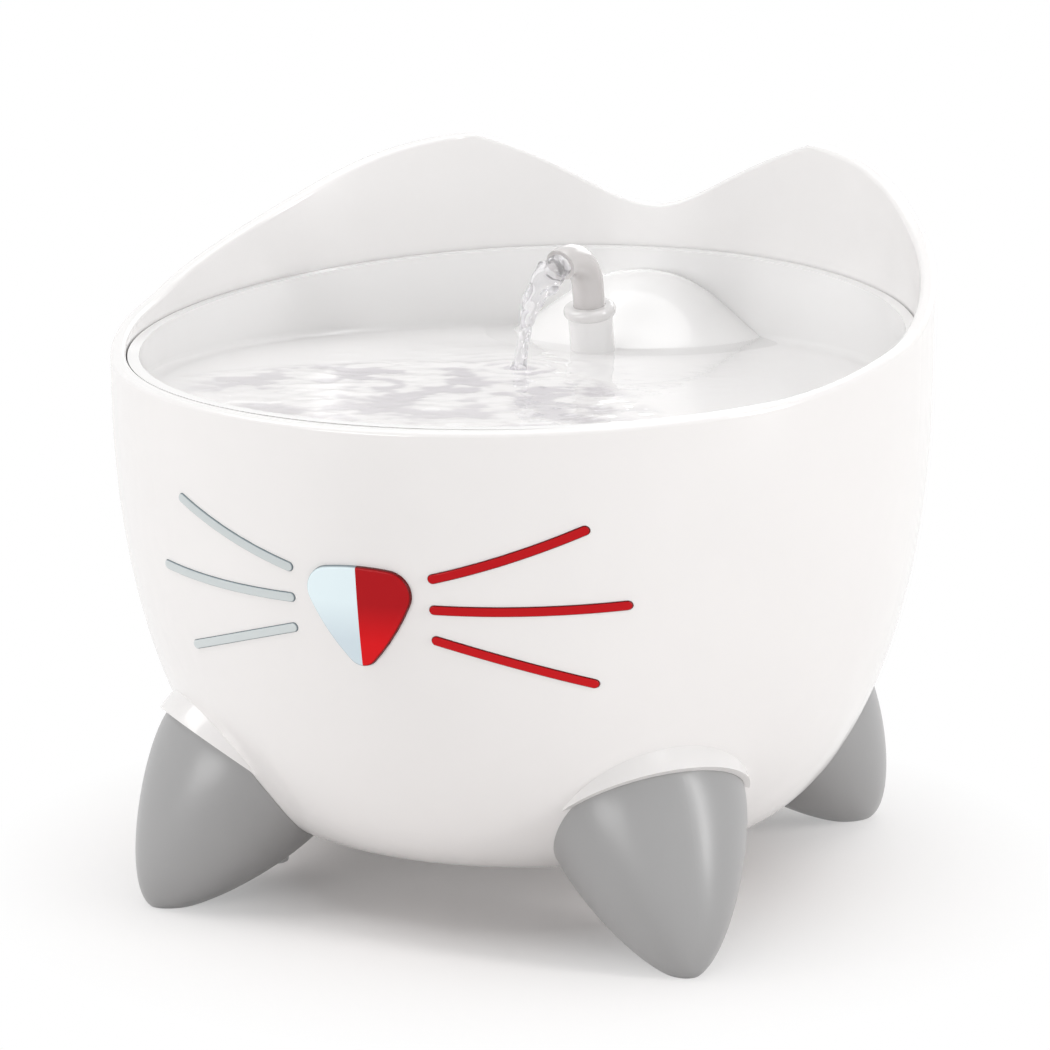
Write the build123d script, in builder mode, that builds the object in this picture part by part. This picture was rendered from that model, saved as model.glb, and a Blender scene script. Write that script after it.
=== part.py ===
"""Pet water fountain: a round bowl with two ears, four cone feet and a lit face.

Frame: +Z up, the face looks along -Y, +X is the right side seen from the front, and the
origin is on the floor under the centre of the bowl. Millimetres and degrees.
"""

from build123d import *
from math import cos, degrees, pi, radians, sin, sqrt, tan
import os

# Fits, one value each
lift_gap = 0.4          # round a piece that is lifted out by hand
seat_gap = 0.1          # between pieces that are fixed to each other
swivel_gap = 0.06       # round the spout in its collar, and the dial on its ring
shaft_gap = 0.05        # between the rotor and its fixed shaft
sleeve_gap = 0.15       # between a soft tube and the nozzle inside it

# Bowl shell
shell_radius = 109.0
shell_wall = 4.0
underside_z = 17.0
underside_radius = 60.0  # the flat of the underside
belly_top_z = 131.0      # the belly is a quarter ellipse up to here
blank_top_z = 200.0      # height of the plain wall before the ears are cut

# Top edge of the shell: rising from the lip to the ears in side view, as distance from the
# front of the bowl and z
edge_rise = ((0.0, 137.6), (32.0, 140.0), (54.5, 142.3), (72.0, 145.0), (87.5, 147.8),
             (103.7, 150.8), (117.0, 155.0), (134.4, 161.0), (163.5, 173.0), (191.0, 186.4),
             (200.5, 189.2))
# and the valley between the ears in front view, as x and z of its right half
edge_valley = ((0.0, 169.0), (24.5, 178.0), (45.0, 187.0), (58.0, 191.0))
edge_round = 1.2

# Drinking tray: its rim follows the bowl and its basin floor is level
rim_front_z = 137.6
rim_middle_z = 145.0
rim_back_z = 157.2
flange_thickness = 2.2
pan_gap = 1.6            # between the tray's wall and the shell, for the overflow
pan_wall = 1.8
basin_floor_z = 129.0
basin_floor = 2.0
basin_round = 5.0
overflow_z = 133.0       # lower edge of the overflow slots, which sets the water level
overflow_slots = 7
overflow_width = 7.0
overflow_height = 1.6
overflow_span = 84.0
mound_y = 96.0           # the hump behind the spout
mound_top_z = 150.5
mound_radius = 46.0
mound_wall = 2.2
tray_ribs = (-40.0, 20.0, 90.0, 160.0, 220.0)
rib_reach = 11.0
rib_height = 24.0
rib_thickness = 3.0

# Spout
collar_y, collar_z = 52.0, 144.5
collar_tilt = 13.0       # the collar leans toward the front
collar_height = 3.4
collar_radius = 7.4
collar_round = 1.4
collar_cap_depth = 1.5   # how far the ring reaches down over the pedestal
spout_seat_depth = 8.0   # how far the tube reaches into the pedestal
pedestal_radius = 6.3
spout_radius = 4.5
spout_wall = 1.15
spout_rise = 7.0         # straight stretch above the collar
spout_bend = 11.0
spout_turn = 100.0
spout_heading = 12.0     # turned to the left of straight ahead
nozzle_radius = 6.5
nozzle_bore = 4.4
pedestal_bore = 4.0
tray_nozzle_length = 13.0
riser_low_z = 68.0
riser_wall = 1.8
riser_top_gap = 0.1

# Feet: one bullet-shaped foot at each corner
foot_angles = {"front_left": 225.5, "front_right": 314.5, "back_left": 138.0, "back_right": 42.0}
foot_inset = 30.0        # from the bowl's side to the centre of the foot's base
foot_centre_z = 35.4
foot_tilt = 38.0
foot_base_radius = 25.5
foot_length = 45.0
foot_shoulder = 12.0
foot_shoulder_radius = 26.0
foot_nose_radius = 10.0
hood_radius = 26.8
hood_rise = 1.0
hood_reach = 0.6
foot_screw_inset = 7.0   # from the centre of the foot's base toward the bowl's middle
screw_shank = 1.75
screw_head = 3.6
screw_head_height = 2.2
screw_head_z = 10.0
screw_tip_z = 29.0
post_radius = 4.5
post_top_z = 33.0

# Face: a nose lens and three whiskers on each side, let into the front of the shell
front_angle = -90.0
nose_half_width = 15.6
nose_top_z = 104.2
nose_arch = 2.0
nose_bottom_z = 77.2
nose_side_bulge = 1.9
nose_corner = 6.0
nose_point = 4.0
nose_proud = 1.2
whisker_width = 2.3
whisker_proud = 0.5
nose_edge = 0.6          # rounding of the lenses' outer edges
whisker_edge = 0.3
whisker_inner_x = 18.8
whisker_rows = ((102.2, 53.0, 114.4, -0.8), (94.4, 61.2, 95.4, -0.4), (86.6, 53.2, 75.6, 0.3))

# Light chamber behind the face
chamber_low_z = 70.0
chamber_high_z = 121.0
chamber_half_angle = 41.0
chamber_depth = 13.0
chamber_wall = 1.6
gasket_thickness = 1.0
board_drop = 7.0
board_thickness = 1.2
board_edge_gap = 0.2
cover_post_angle = 37.2
cover_post_rows = (77.5, 113.5)
cover_post_radius = 2.6
cover_screw_radius = 1.0
cover_screw_head = 2.0
cover_screw_head_height = 1.3
cover_screw_depth = 7.0
emitter_size = (3.5, 2.8)
emitter_height = 1.6
emitter_places = ((0.0, 98.0), (0.0, 88.0), (18.0, 103.5), (27.0, 111.0), (20.0, 95.0),
                  (30.0, 95.5), (18.0, 84.5), (27.0, 79.5))
probe_radius = 1.2
probe_clearance = 2.75   # from the inner face of the light cover to a probe's axis
probe_angle = 6.0
probe_low_z = 53.0
probe_high_z = 75.0

# Submersible pump, with its rotor axis level and its inlet at the back
pump_half_width = 18.0
pump_front_y = 24.0
pump_low_z = 26.0
pump_high_z = 62.0
pump_wall = 2.5
rotor_z = 47.0
well_radius = 7.2
well_wall = 1.4
well_front_y = 28.0
chamber_front_y = 50.0
volute_radius = 12.5
volute_back_gap = 5.5    # from the nozzle's axis to the cover
pump_cover_thickness = 2.5
motor_cap_thickness = 2.0
inlet_radius = 5.0
inlet_ring_radius = 7.0
dial_radius = 11.0
dial_thickness = 2.4
shaft_radius = 1.5
magnet_radius = 6.4
impeller_radius = 11.0
impeller_hub = 3.6
impeller_blades = 6
blade_thickness = 1.4
bush_radius = 3.0
bush_length = 2.4
magnet_front_y = 31.0
magnet_back_y = 50.4
impeller_back_y = 58.4
seal_radius = 12.8
seal_width = 1.4
seal_depth = 1.2
dial_tab = 4.0
dial_ports = 3           # holes that the dial opens and closes
dial_port_radius = 1.6
dial_port_ring = 9.0
limb_low_z = 31.0
limb_height = 4.0
coil_margin = 2.2
pump_nozzle_top_z = 78.0
cup_radius = 6.0
cup_neck = 3.0
cup_inset = 1.0          # from the pump's front and back to the edge of a cup

# Pump housing and the filter in front of it
housing_half_width = 27.2
housing_front_y = 14.0
housing_back_y = 71.0
housing_wall = 2.2
housing_low_z = 26.4
housing_high_z = 66.2
housing_corner = 12.0
leg_radius = 2.5
leg_inset = 3.2
leg_front_run = 14.0
leg_back_run = 19.0
rail_depth = 12.0
rail_width = 5.2
rail_high_z = 62.0
rail_lip = 2.0
rail_wall = 2.8          # outside of the groove that holds the filter
filter_thickness = 7.8
filter_low_z = 28.0
filter_high_z = 66.0
filter_border = 4.0
filter_bars = 7
filter_bar_width = 1.4
filter_bar_depth = 1.2
filter_tab_width = 16.0
filter_tab_height = 6.0
foam_thickness = 6.0

# Power inlet in the back wall, and the two leads inside
inlet_axis_z = 80.0
inlet_body_radius = 6.2
inlet_body_length = 18.6
inlet_pad_depth = 2.4    # from the bowl's widest part back to the pad's face
inlet_pad_length = 10.6
inlet_pad_radius = 12.0
inlet_flange_radius = 9.0
inlet_flange_thickness = 1.6
jack_radius = 2.8
jack_depth = 9.5
inlet_gasket_radius = 8.6
inlet_gasket_thickness = 0.9
nut_across = 18.0
nut_thickness = 5.0
lead_radius = 1.6
lead_offset = 2.3
lead_slot_y = 37.0

# Worked out from the sizes above
belly_reach = shell_radius - underside_radius
belly_depth = belly_top_z - underside_z
inner_radius = shell_radius - shell_wall
inner_floor_z = underside_z + shell_wall
tray_radius = inner_radius - lift_gap
pan_radius = inner_radius - pan_gap
basin_radius = pan_radius - pan_wall
pan_bottom_z = basin_floor_z - basin_floor
nozzle_y = collar_y + tan(radians(collar_tilt)) * (collar_z - basin_floor_z)
volute_back_y = nozzle_y + volute_back_gap
pump_back_y = volute_back_y + pump_cover_thickness
inside_low_z = chamber_low_z + chamber_wall
inside_high_z = chamber_high_z - chamber_wall
inside_half_angle = chamber_half_angle - degrees(chamber_wall / (shell_radius - chamber_depth))
cover_outer = shell_wall + gasket_thickness
cover_inner = cover_outer + chamber_depth
collar_axis = Vector(0, -sin(radians(collar_tilt)), cos(radians(collar_tilt)))
collar_plane = Plane(origin=(0, collar_y, collar_z), x_dir=(1, 0, 0), z_dir=collar_axis)
foot_centre_radius = shell_radius - foot_inset
foot_screw_radius = foot_centre_radius - foot_screw_inset
foot_screw_places = [(foot_screw_radius * cos(radians(angle)), foot_screw_radius * sin(radians(angle)))
                     for angle in foot_angles.values()]
cup_places = [(side * (pump_half_width - cup_radius), y) for side in (-1, 1)
              for y in (pump_front_y + cup_radius + cup_inset,
                        volute_back_y - cup_radius - cup_inset)]
leg_places = [(side * (housing_half_width - leg_inset), y) for side in (-1, 1)
              for y in (housing_front_y + leg_front_run, housing_back_y - leg_back_run)]
filter_half_width = housing_half_width - rail_wall - lift_gap
inlet_pad_y = shell_radius - inlet_pad_depth
inlet_inner_y = inlet_pad_y - inlet_pad_length

os.makedirs("parts", exist_ok=True)


def keep(name, solid):
    """Labels a finished sub-part and writes its STEP file."""
    solid.label = name
    export_step(solid, "parts/" + name + ".step")


def radial(angle):
    """Upright plane through the centre, with its x axis pointing out at the angle."""
    out = (cos(radians(angle)), sin(radians(angle)), 0)
    return Plane(origin=(0, 0, 0), x_dir=out, z_dir=(out[1], -out[0], 0))


def wall_radius(height, drop):
    """Radius of the bowl's outer face at a height, taken in by drop."""
    share = max(0.0, (belly_top_z - height) / (belly_depth - drop))
    return underside_radius + (belly_reach - drop) * sqrt(1 - share * share)


def wall_plane(angle, height, drop):
    """Plane on the bowl's face taken in by drop, facing outward, with x along the wall."""
    reach = wall_radius(height, drop) - underside_radius
    slope_out = reach / (belly_reach - drop) ** 2
    slope_down = (belly_top_z - height) / (belly_depth - drop) ** 2
    out = (cos(radians(angle)), sin(radians(angle)))
    radius = underside_radius + reach
    normal = Vector(out[0] * slope_out, out[1] * slope_out, -slope_down)
    return Plane(origin=(out[0] * radius, out[1] * radius, height),
                 x_dir=(-out[1], out[0], 0), z_dir=normal)


def bowl(drop):
    """Solid of the bowl's outer shape, taken in by drop all over, up to the blank's top."""
    radius = shell_radius - drop
    floor_z = underside_z + drop
    with BuildPart() as solid:
        with BuildSketch(Plane.XZ):
            with BuildLine():
                Line((0, floor_z), (underside_radius, floor_z))
                EllipticalCenterArc((underside_radius, belly_top_z), belly_reach - drop,
                                    belly_depth - drop, start_angle=270, arc_size=90)
                Polyline((radius, belly_top_z), (radius, blank_top_z), (0, blank_top_z),
                         (0, floor_z))
            make_face()
        revolve(axis=Axis.Z)
    return solid.part


def wall_band(outer_drop, inner_drop, low_z, high_z, half_angle):
    """Piece of a layer that follows the front of the bowl between two heights."""
    with BuildPart() as band:
        with BuildSketch(radial(front_angle - half_angle)):
            with Locations((underside_radius, belly_top_z)):
                Ellipse(belly_reach - outer_drop, belly_depth - outer_drop)
                Ellipse(belly_reach - inner_drop, belly_depth - inner_drop, mode=Mode.SUBTRACT)
            with Locations((underside_radius, low_z)):
                Rectangle(shell_radius, high_z - low_z, align=(Align.MIN, Align.MIN),
                          mode=Mode.INTERSECT)
        revolve(axis=Axis.Z, revolution_arc=2 * half_angle)
    return band.part


def under_rim(radius, drop, low_z):
    """Round block from a height up to the tray's rim face, or to that face lowered by drop."""
    with BuildPart() as block:
        with BuildSketch(Plane.YZ):
            with BuildLine():
                front = (-shell_radius, rim_front_z - drop)
                back = (shell_radius, rim_back_z - drop)
                ThreePointArc(front, (0, rim_middle_z - drop), back)
                Polyline(back, (shell_radius, low_z), (-shell_radius, low_z), front)
            make_face()
        extrude(amount=shell_radius, both=True)
        with BuildSketch(Plane.XY.offset(low_z)):
            Circle(radius)
        extrude(amount=blank_top_z, mode=Mode.INTERSECT)
    return block.part


def mound(shrink, low_z):
    """The hump behind the spout, taken in by shrink, cut off at the basin's wall."""
    half_way = (mound_top_z + basin_floor_z) / 2 + 3.0
    with BuildPart() as hump:
        with BuildSketch(Plane.YZ):
            with BuildLine():
                top = (mound_y, mound_top_z - shrink)
                middle = (mound_y - mound_radius / 2 + shrink / 2, half_way - shrink)
                foot = (mound_y - mound_radius + shrink, basin_floor_z)
                Spline(top, middle, foot, tangents=((-1, 0), (-1, -0.35)))
                Polyline(foot, (foot[0], low_z), (mound_y, low_z), top)
            make_face()
        revolve(axis=Axis((0, mound_y, 0), (0, 0, 1)))
        with BuildSketch(Plane.XY.offset(low_z)):
            Circle(basin_radius + pan_wall / 2)
        extrude(amount=blank_top_z, mode=Mode.INTERSECT)
    return hump.part


def foot_frame(angle):
    """Base centre of a foot, the way out along its base, and the way down its axis."""
    out = Vector(cos(radians(angle)), sin(radians(angle)), 0)
    lean = radians(foot_tilt)
    base = out * foot_centre_radius + Vector(0, 0, foot_centre_z)
    across = out * cos(lean) + Vector(0, 0, sin(lean))
    down = out * sin(lean) - Vector(0, 0, cos(lean))
    return base, across, down


def foot_blank(angle, grow):
    """Bullet shape of a foot, made larger by grow, before the bowl is cut out of it."""
    base, across, down = foot_frame(angle)
    tip = (0, foot_length + grow)
    start = (foot_base_radius + grow, -grow)
    with BuildPart() as blank:
        with BuildSketch(Plane(origin=base, x_dir=across, z_dir=across.cross(down))):
            with BuildLine():
                Bezier(start, (foot_shoulder_radius + grow, foot_shoulder),
                       (foot_nose_radius, tip[1]), tip)
                Polyline(tip, (0, -grow), start)
            make_face()
        revolve(axis=Axis(base, down))
    return blank.part


def hood(angle):
    """Swelling of the shell round the top of a foot."""
    base, across, down = foot_frame(angle)
    with BuildPart() as swelling:
        with Locations(base + across * hood_rise):
            Sphere(hood_radius)
        split(bisect_by=Plane(origin=base + down * hood_reach, z_dir=down), keep=Keep.BOTTOM)
    return swelling.part


def screw(tip_z, head_z, shank, head, head_height):
    """Pan-head screw standing on its head, pointing up."""
    with BuildPart() as fastener:
        with BuildSketch(Plane.XY.offset(head_z - head_height)):
            Circle(head)
        extrude(amount=head_height)
        fillet(fastener.edges().group_by(Axis.Z)[0], head_height / 3)
        with BuildSketch(Plane.XY.offset(head_z)):
            Circle(shank)
        extrude(amount=tip_z - head_z)
        with BuildSketch(Plane.XY.offset(head_z - head_height)):
            Rectangle(head, head / 4)
            Rectangle(head / 4, head)
        extrude(amount=head_height / 2, mode=Mode.SUBTRACT)
    return fastener.part


def nose_outline(grow):
    """Rounded triangle of the nose, in front view, widened by grow."""
    with BuildSketch(Plane.XZ) as outline:
        with BuildLine():
            left = (-nose_half_width, nose_top_z - nose_arch)
            right = (nose_half_width, nose_top_z - nose_arch)
            point = (0, nose_bottom_z)
            ThreePointArc(left, (0, nose_top_z), right)
            SagittaArc(right, point, nose_side_bulge)
            SagittaArc(point, left, nose_side_bulge)
        make_face()
        fillet(outline.vertices().group_by(Axis.Y)[-1], nose_corner)
        fillet(outline.vertices().group_by(Axis.Y)[0], nose_point)
        if grow:
            offset(amount=grow)
    return outline.sketch


def whisker_outline(side, grow):
    """Three rounded bars on one side of the nose, in front view, widened by grow."""
    with BuildSketch(Plane.XZ) as outline:
        for inner_z, outer_x, outer_z, sag in whisker_rows:
            inner = Vector(side * whisker_inner_x, inner_z)
            outer = Vector(side * outer_x, outer_z)
            middle = (inner + outer) / 2 + Vector(0, sag)
            with BuildLine(mode=Mode.PRIVATE) as spine:
                ThreePointArc(inner, middle, outer)
            SlotArc(spine.edge(), whisker_width + 2 * grow)
    return outline.sketch


def through_front(outline, body=None):
    """Bar with the outline's section through the front wall, kept where it meets body."""
    with BuildPart() as bar:
        extrude(outline, amount=shell_radius + 10)
        if body:
            add(body, mode=Mode.INTERSECT)
    return bar.part


def lens(outline, proud, edge_radius):
    """Lens through the front wall, proud of it, with its outer edges rounded."""
    with BuildPart() as window:
        add(through_front(outline, bowl(-proud) - cavity))
        outer = [edge for edge in window.edges() if Vector((edge @ 0.5).X, (edge @ 0.5).Y).length
                 > wall_radius((edge @ 0.5).Z, -proud) - edge_radius / 2]
        fillet(outer, edge_radius)
    return window.part


# ---------------------------------------------------------------- shell and feet

outer_blank = bowl(0)
cavity = bowl(shell_wall)
foot_cuts = {name: foot_blank(angle, seat_gap) for name, angle in foot_angles.items()}
hoods = [hood(angle) for angle in foot_angles.values()]
face_cuts = [through_front(nose_outline(seat_gap)), through_front(whisker_outline(-1, seat_gap)),
             through_front(whisker_outline(1, seat_gap))]
cover_posts = [wall_plane(front_angle + side * cover_post_angle, height, cover_inner)
               for side in (-1, 1) for height in cover_post_rows]
within_wall = bowl(shell_wall / 2)
probe_ring = wall_radius(chamber_low_z, cover_inner - chamber_wall) + probe_clearance

with BuildPart() as above_rise:
    with BuildSketch(Plane.YZ):
        with BuildLine():
            rise = [(distance - shell_radius, z) for distance, z in edge_rise]
            Spline(*rise)
            Polyline(rise[-1], (2 * shell_radius, rise[-1][1]),
                     (2 * shell_radius, blank_top_z + 1), (-2 * shell_radius, blank_top_z + 1),
                     (-2 * shell_radius, rise[0][1]), rise[0])
        make_face()
    extrude(amount=shell_radius + 1, both=True)

with BuildPart() as between_ears:
    with BuildSketch(Plane.XZ):
        with BuildLine():
            half = [(-x, z) for x, z in reversed(edge_valley[1:])]
            Spline(*half, *edge_valley)
            Polyline(edge_valley[-1], (edge_valley[-1][0], blank_top_z + 1),
                     (half[0][0], blank_top_z + 1), half[0])
        make_face()
    extrude(amount=-shell_radius - 1)
top_cuts = [above_rise.part, between_ears.part]

with BuildPart() as screw_posts:
    with BuildSketch(Plane.XY.offset(underside_z)):
        with Locations(*foot_screw_places):
            Circle(post_radius)
    extrude(amount=post_top_z - underside_z)
    for place in cover_posts:
        with BuildSketch(place.offset(chamber_wall + seat_gap)):
            Circle(cover_post_radius)
        extrude(amount=2 * chamber_depth)
    add(within_wall, mode=Mode.INTERSECT)

with BuildPart() as shell:
    add(outer_blank)
    for swelling in hoods:
        add(swelling)
    for cut in foot_cuts.values():
        add(cut, mode=Mode.SUBTRACT)
    add(bowl(0))
    with BuildSketch(Plane.XZ.offset(-inlet_pad_y)):
        with Locations((0, inlet_axis_z)):
            Circle(inlet_pad_radius)
    extrude(amount=inlet_pad_y - wall_radius(inlet_axis_z, shell_wall))
    add(cavity, mode=Mode.SUBTRACT)
    for cut in top_cuts:
        add(cut, mode=Mode.SUBTRACT)
    fillet(shell.edges().filter_by(GeomType.LINE, reverse=True).filter_by(
        lambda edge: edge.bounding_box().min.Z > rim_front_z - shell_wall / 2), edge_round)
    for angle in tray_ribs:
        with BuildSketch(radial(angle)):
            with BuildLine():
                Polyline((inner_radius + 1, pan_bottom_z), (inner_radius - rib_reach, pan_bottom_z),
                         (inner_radius - rib_reach, pan_bottom_z - rib_thickness),
                         (inner_radius + 1, pan_bottom_z - rib_height), close=True)
            make_face()
        extrude(amount=rib_thickness / 2, both=True)
    add(screw_posts.part)
    with BuildSketch(Plane.XZ.offset(-inlet_inner_y)):
        with Locations((0, inlet_axis_z)):
            Circle(inlet_pad_radius)
    extrude(amount=inlet_inner_y - wall_radius(inlet_axis_z, shell_wall) - 2)
    with BuildSketch(Plane.XZ.offset(-inlet_pad_y)):
        with Locations((0, inlet_axis_z)):
            Circle(inlet_body_radius + seat_gap)
    extrude(amount=inlet_body_length, mode=Mode.SUBTRACT)
    with BuildSketch(Plane.XZ.offset(-inlet_pad_y)):
        with Locations((0, inlet_axis_z)):
            Circle(inlet_gasket_radius)
    extrude(amount=inlet_gasket_thickness, mode=Mode.SUBTRACT)
    for place in cover_posts:
        with BuildSketch(place):
            Circle(cover_screw_radius + seat_gap)
        extrude(amount=cover_screw_depth + 1, mode=Mode.SUBTRACT)
    with BuildSketch(Plane.XY.offset(underside_z)):
        with Locations(*foot_screw_places):
            Circle(screw_shank + seat_gap)
    extrude(amount=screw_tip_z + 1 - underside_z, mode=Mode.SUBTRACT)
    for bar in face_cuts:
        add(bar, mode=Mode.SUBTRACT)

keep("shell", shell.part)

for name, angle in foot_angles.items():
    blank = foot_blank(angle, 0)
    belly = bowl(-seat_gap)
    with BuildPart() as foot:
        add(blank)
        add(belly, mode=Mode.SUBTRACT)
        with BuildSketch(Plane.XY):
            Rectangle(3 * shell_radius, 3 * shell_radius)
        extrude(amount=-foot_length, mode=Mode.SUBTRACT)
        with BuildSketch(Plane.XY):
            with PolarLocations(foot_screw_radius, 1, start_angle=angle):
                Circle(screw_head + seat_gap)
        extrude(amount=screw_head_z, mode=Mode.SUBTRACT)
        with BuildSketch(Plane.XY):
            with PolarLocations(foot_screw_radius, 1, start_angle=angle):
                Circle(screw_shank + seat_gap)
        extrude(amount=foot_centre_z, mode=Mode.SUBTRACT)
    keep("foot_" + name, foot.part.solids().sort_by(SortBy.VOLUME)[-1])

one_foot_screw = screw(screw_tip_z, screw_head_z, screw_shank, screw_head, screw_head_height)
with BuildPart() as foot_screws:
    with Locations(*foot_screw_places):
        add(one_foot_screw)
keep("foot_screws", foot_screws.part)

# ---------------------------------------------------------------- face lights

keep("nose_lens", lens(nose_outline(0), nose_proud, nose_edge))
keep("whisker_lenses_left", lens(whisker_outline(-1, 0), whisker_proud, whisker_edge))
keep("whisker_lenses_right", lens(whisker_outline(1, 0), whisker_proud, whisker_edge))

chamber_space = wall_band(0, cover_inner - chamber_wall, inside_low_z, inside_high_z,
                          inside_half_angle)

with BuildPart() as light_gasket:
    add(wall_band(shell_wall, cover_outer, chamber_low_z, chamber_high_z, chamber_half_angle))
    add(chamber_space, mode=Mode.SUBTRACT)
keep("light_gasket", light_gasket.part)

with BuildPart() as light_cover:
    add(wall_band(cover_outer, cover_inner, chamber_low_z, chamber_high_z, chamber_half_angle))
    add(chamber_space, mode=Mode.SUBTRACT)
    for place in cover_posts:
        with BuildSketch(place.offset(-chamber_wall)):
            Circle(cover_screw_radius + seat_gap)
        extrude(amount=3 * chamber_wall, mode=Mode.SUBTRACT)
    with BuildSketch(Plane.XY.offset(chamber_low_z)):
        with PolarLocations(probe_ring, 2, start_angle=front_angle - probe_angle,
                            angular_range=2 * probe_angle, endpoint=True):
            Circle(probe_radius + shaft_gap)
    extrude(amount=chamber_wall, mode=Mode.SUBTRACT)
keep("light_cover", light_cover.part)

with BuildPart() as light_board:
    add(wall_band(shell_wall + board_drop, shell_wall + board_drop + board_thickness,
                  inside_low_z + board_edge_gap, inside_high_z - board_edge_gap,
                  inside_half_angle - board_edge_gap))
    for place in cover_posts:
        with BuildSketch(place):
            Circle(cover_post_radius + seat_gap)
        extrude(amount=2 * chamber_depth, mode=Mode.SUBTRACT)
keep("light_board", light_board.part)

with BuildPart() as light_emitters:
    for turn, height in emitter_places:
        for side in ((-1, 1) if turn else (1,)):
            face = wall_plane(front_angle + side * turn, height, shell_wall + board_drop)
            with BuildSketch(face.offset(seat_gap / 2)):
                Rectangle(*emitter_size)
            extrude(amount=emitter_height)
keep("light_emitters", light_emitters.part)

one_cover_screw = screw(cover_screw_depth, 0, cover_screw_radius, cover_screw_head,
                        cover_screw_head_height)
with BuildPart() as cover_screws:
    for place in cover_posts:
        with Locations(place.offset(-seat_gap / 2)):
            add(one_cover_screw)
keep("cover_screws", cover_screws.part)

with BuildPart() as level_probes:
    with BuildSketch(Plane.XY.offset(probe_low_z)):
        with PolarLocations(probe_ring, 2, start_angle=front_angle - probe_angle,
                            angular_range=2 * probe_angle, endpoint=True):
            Circle(probe_radius)
    extrude(amount=probe_high_z - probe_low_z)
    fillet(level_probes.edges().group_by(Axis.Z)[0], probe_radius / 2)
keep("level_probes", level_probes.part)

# ---------------------------------------------------------------- tray and spout

collar_base = collar_plane.offset(-collar_height / 2)
collar_line = Axis(collar_plane.origin, collar_axis)
pedestal_top = collar_base.offset(collar_cap_depth - seat_gap)
rim_block = under_rim(tray_radius, 0, pan_bottom_z)
rim_below = under_rim(tray_radius + 1, flange_thickness, pan_bottom_z)
pan_block = under_rim(pan_radius, 0, pan_bottom_z)
mound_outside = mound(0, pan_bottom_z)
mound_inside = mound(mound_wall, pan_bottom_z - 1)

with BuildPart() as pedestal:
    with BuildSketch(pedestal_top):
        Circle(pedestal_radius)
    extrude(amount=-pedestal_radius - (collar_z - pan_bottom_z) / cos(radians(collar_tilt)))
    with BuildSketch(Plane.XY.offset(pan_bottom_z)):
        Circle(basin_radius)
    extrude(amount=blank_top_z, mode=Mode.INTERSECT)

with BuildPart() as drinking_tray:
    add(rim_block)
    add(rim_below, mode=Mode.SUBTRACT)
    add(pan_block)
    with BuildSketch(Plane.XY.offset(basin_floor_z)):
        Circle(basin_radius)
    extrude(amount=blank_top_z, mode=Mode.SUBTRACT)
    fillet(drinking_tray.edges().filter_by(GeomType.CIRCLE).filter_by_position(
        Axis.Z, basin_floor_z - 0.01, basin_floor_z + 0.01), basin_round)
    add(mound_outside)
    add(mound_inside, mode=Mode.SUBTRACT)
    add(pedestal.part)
    with BuildSketch(Plane.XY.offset(pan_bottom_z - tray_nozzle_length)):
        with Locations((0, nozzle_y)):
            Circle(nozzle_radius)
    extrude(amount=tray_nozzle_length + basin_floor)
    with BuildSketch(Plane.XY.offset(pan_bottom_z - tray_nozzle_length)):
        with Locations((0, nozzle_y)):
            Circle(nozzle_bore)
    extrude(amount=tray_nozzle_length + basin_floor, mode=Mode.SUBTRACT)
    with BuildSketch(pedestal_top):
        Circle(pedestal_bore)
    extrude(amount=-(collar_z - pan_bottom_z) / cos(radians(collar_tilt)), mode=Mode.SUBTRACT)
    with BuildSketch(pedestal_top):
        Circle(spout_radius + swivel_gap)
    extrude(amount=-spout_seat_depth, mode=Mode.SUBTRACT)
    with BuildSketch(Plane.XY.offset(overflow_z)):
        with PolarLocations(pan_radius, overflow_slots, start_angle=front_angle - overflow_span / 2,
                            angular_range=overflow_span, endpoint=True):
            Rectangle(4 * pan_wall, overflow_width)
    extrude(amount=overflow_height, mode=Mode.SUBTRACT)
keep("drinking_tray", drinking_tray.part)

with BuildPart() as spout_collar:
    with BuildSketch(collar_base):
        Circle(collar_radius)
    extrude(amount=collar_height)
    fillet(spout_collar.edges().filter_by(GeomType.CIRCLE), collar_round)
    with BuildSketch(collar_base):
        Circle(pedestal_radius + seat_gap)
    extrude(amount=collar_cap_depth, mode=Mode.SUBTRACT)
    with BuildSketch(collar_base):
        Circle(spout_radius + swivel_gap)
    extrude(amount=collar_height, mode=Mode.SUBTRACT)
keep("spout_collar", spout_collar.part)

with BuildPart() as spout_tube:
    with BuildLine(Plane.YZ) as spout_path:
        foot = pedestal_top.origin - collar_axis * (spout_seat_depth - seat_gap)
        bend = collar_plane.origin + collar_axis * spout_rise
        Line((foot.Y, foot.Z), (bend.Y, bend.Z))
        JernArc((bend.Y, bend.Z), (collar_axis.Y, collar_axis.Z), spout_bend, spout_turn)
    with BuildSketch(Plane(origin=foot, x_dir=(1, 0, 0), z_dir=collar_axis)):
        Circle(spout_radius)
        Circle(spout_radius - spout_wall, mode=Mode.SUBTRACT)
    sweep(path=spout_path.wire())
keep("spout_tube", spout_tube.part.rotate(collar_line, -spout_heading))

with BuildPart() as riser_tube:
    with BuildSketch(Plane.XY.offset(riser_low_z)):
        with Locations((0, nozzle_y)):
            Circle(nozzle_radius + sleeve_gap + riser_wall)
            Circle(nozzle_radius + sleeve_gap, mode=Mode.SUBTRACT)
    extrude(amount=pan_bottom_z - riser_top_gap - riser_low_z)
keep("riser_tube", riser_tube.part)

# ---------------------------------------------------------------- pump

def level_disc(start_y, end_y, radius, mode=Mode.ADD):
    """Disc or bore along the rotor's axis between two places, in the part being built."""
    with Locations(Plane(origin=(0, end_y, rotor_z), z_dir=(0, -1, 0))):
        Cylinder(radius, end_y - start_y, align=(Align.CENTER, Align.CENTER, Align.MIN), mode=mode)


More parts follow.
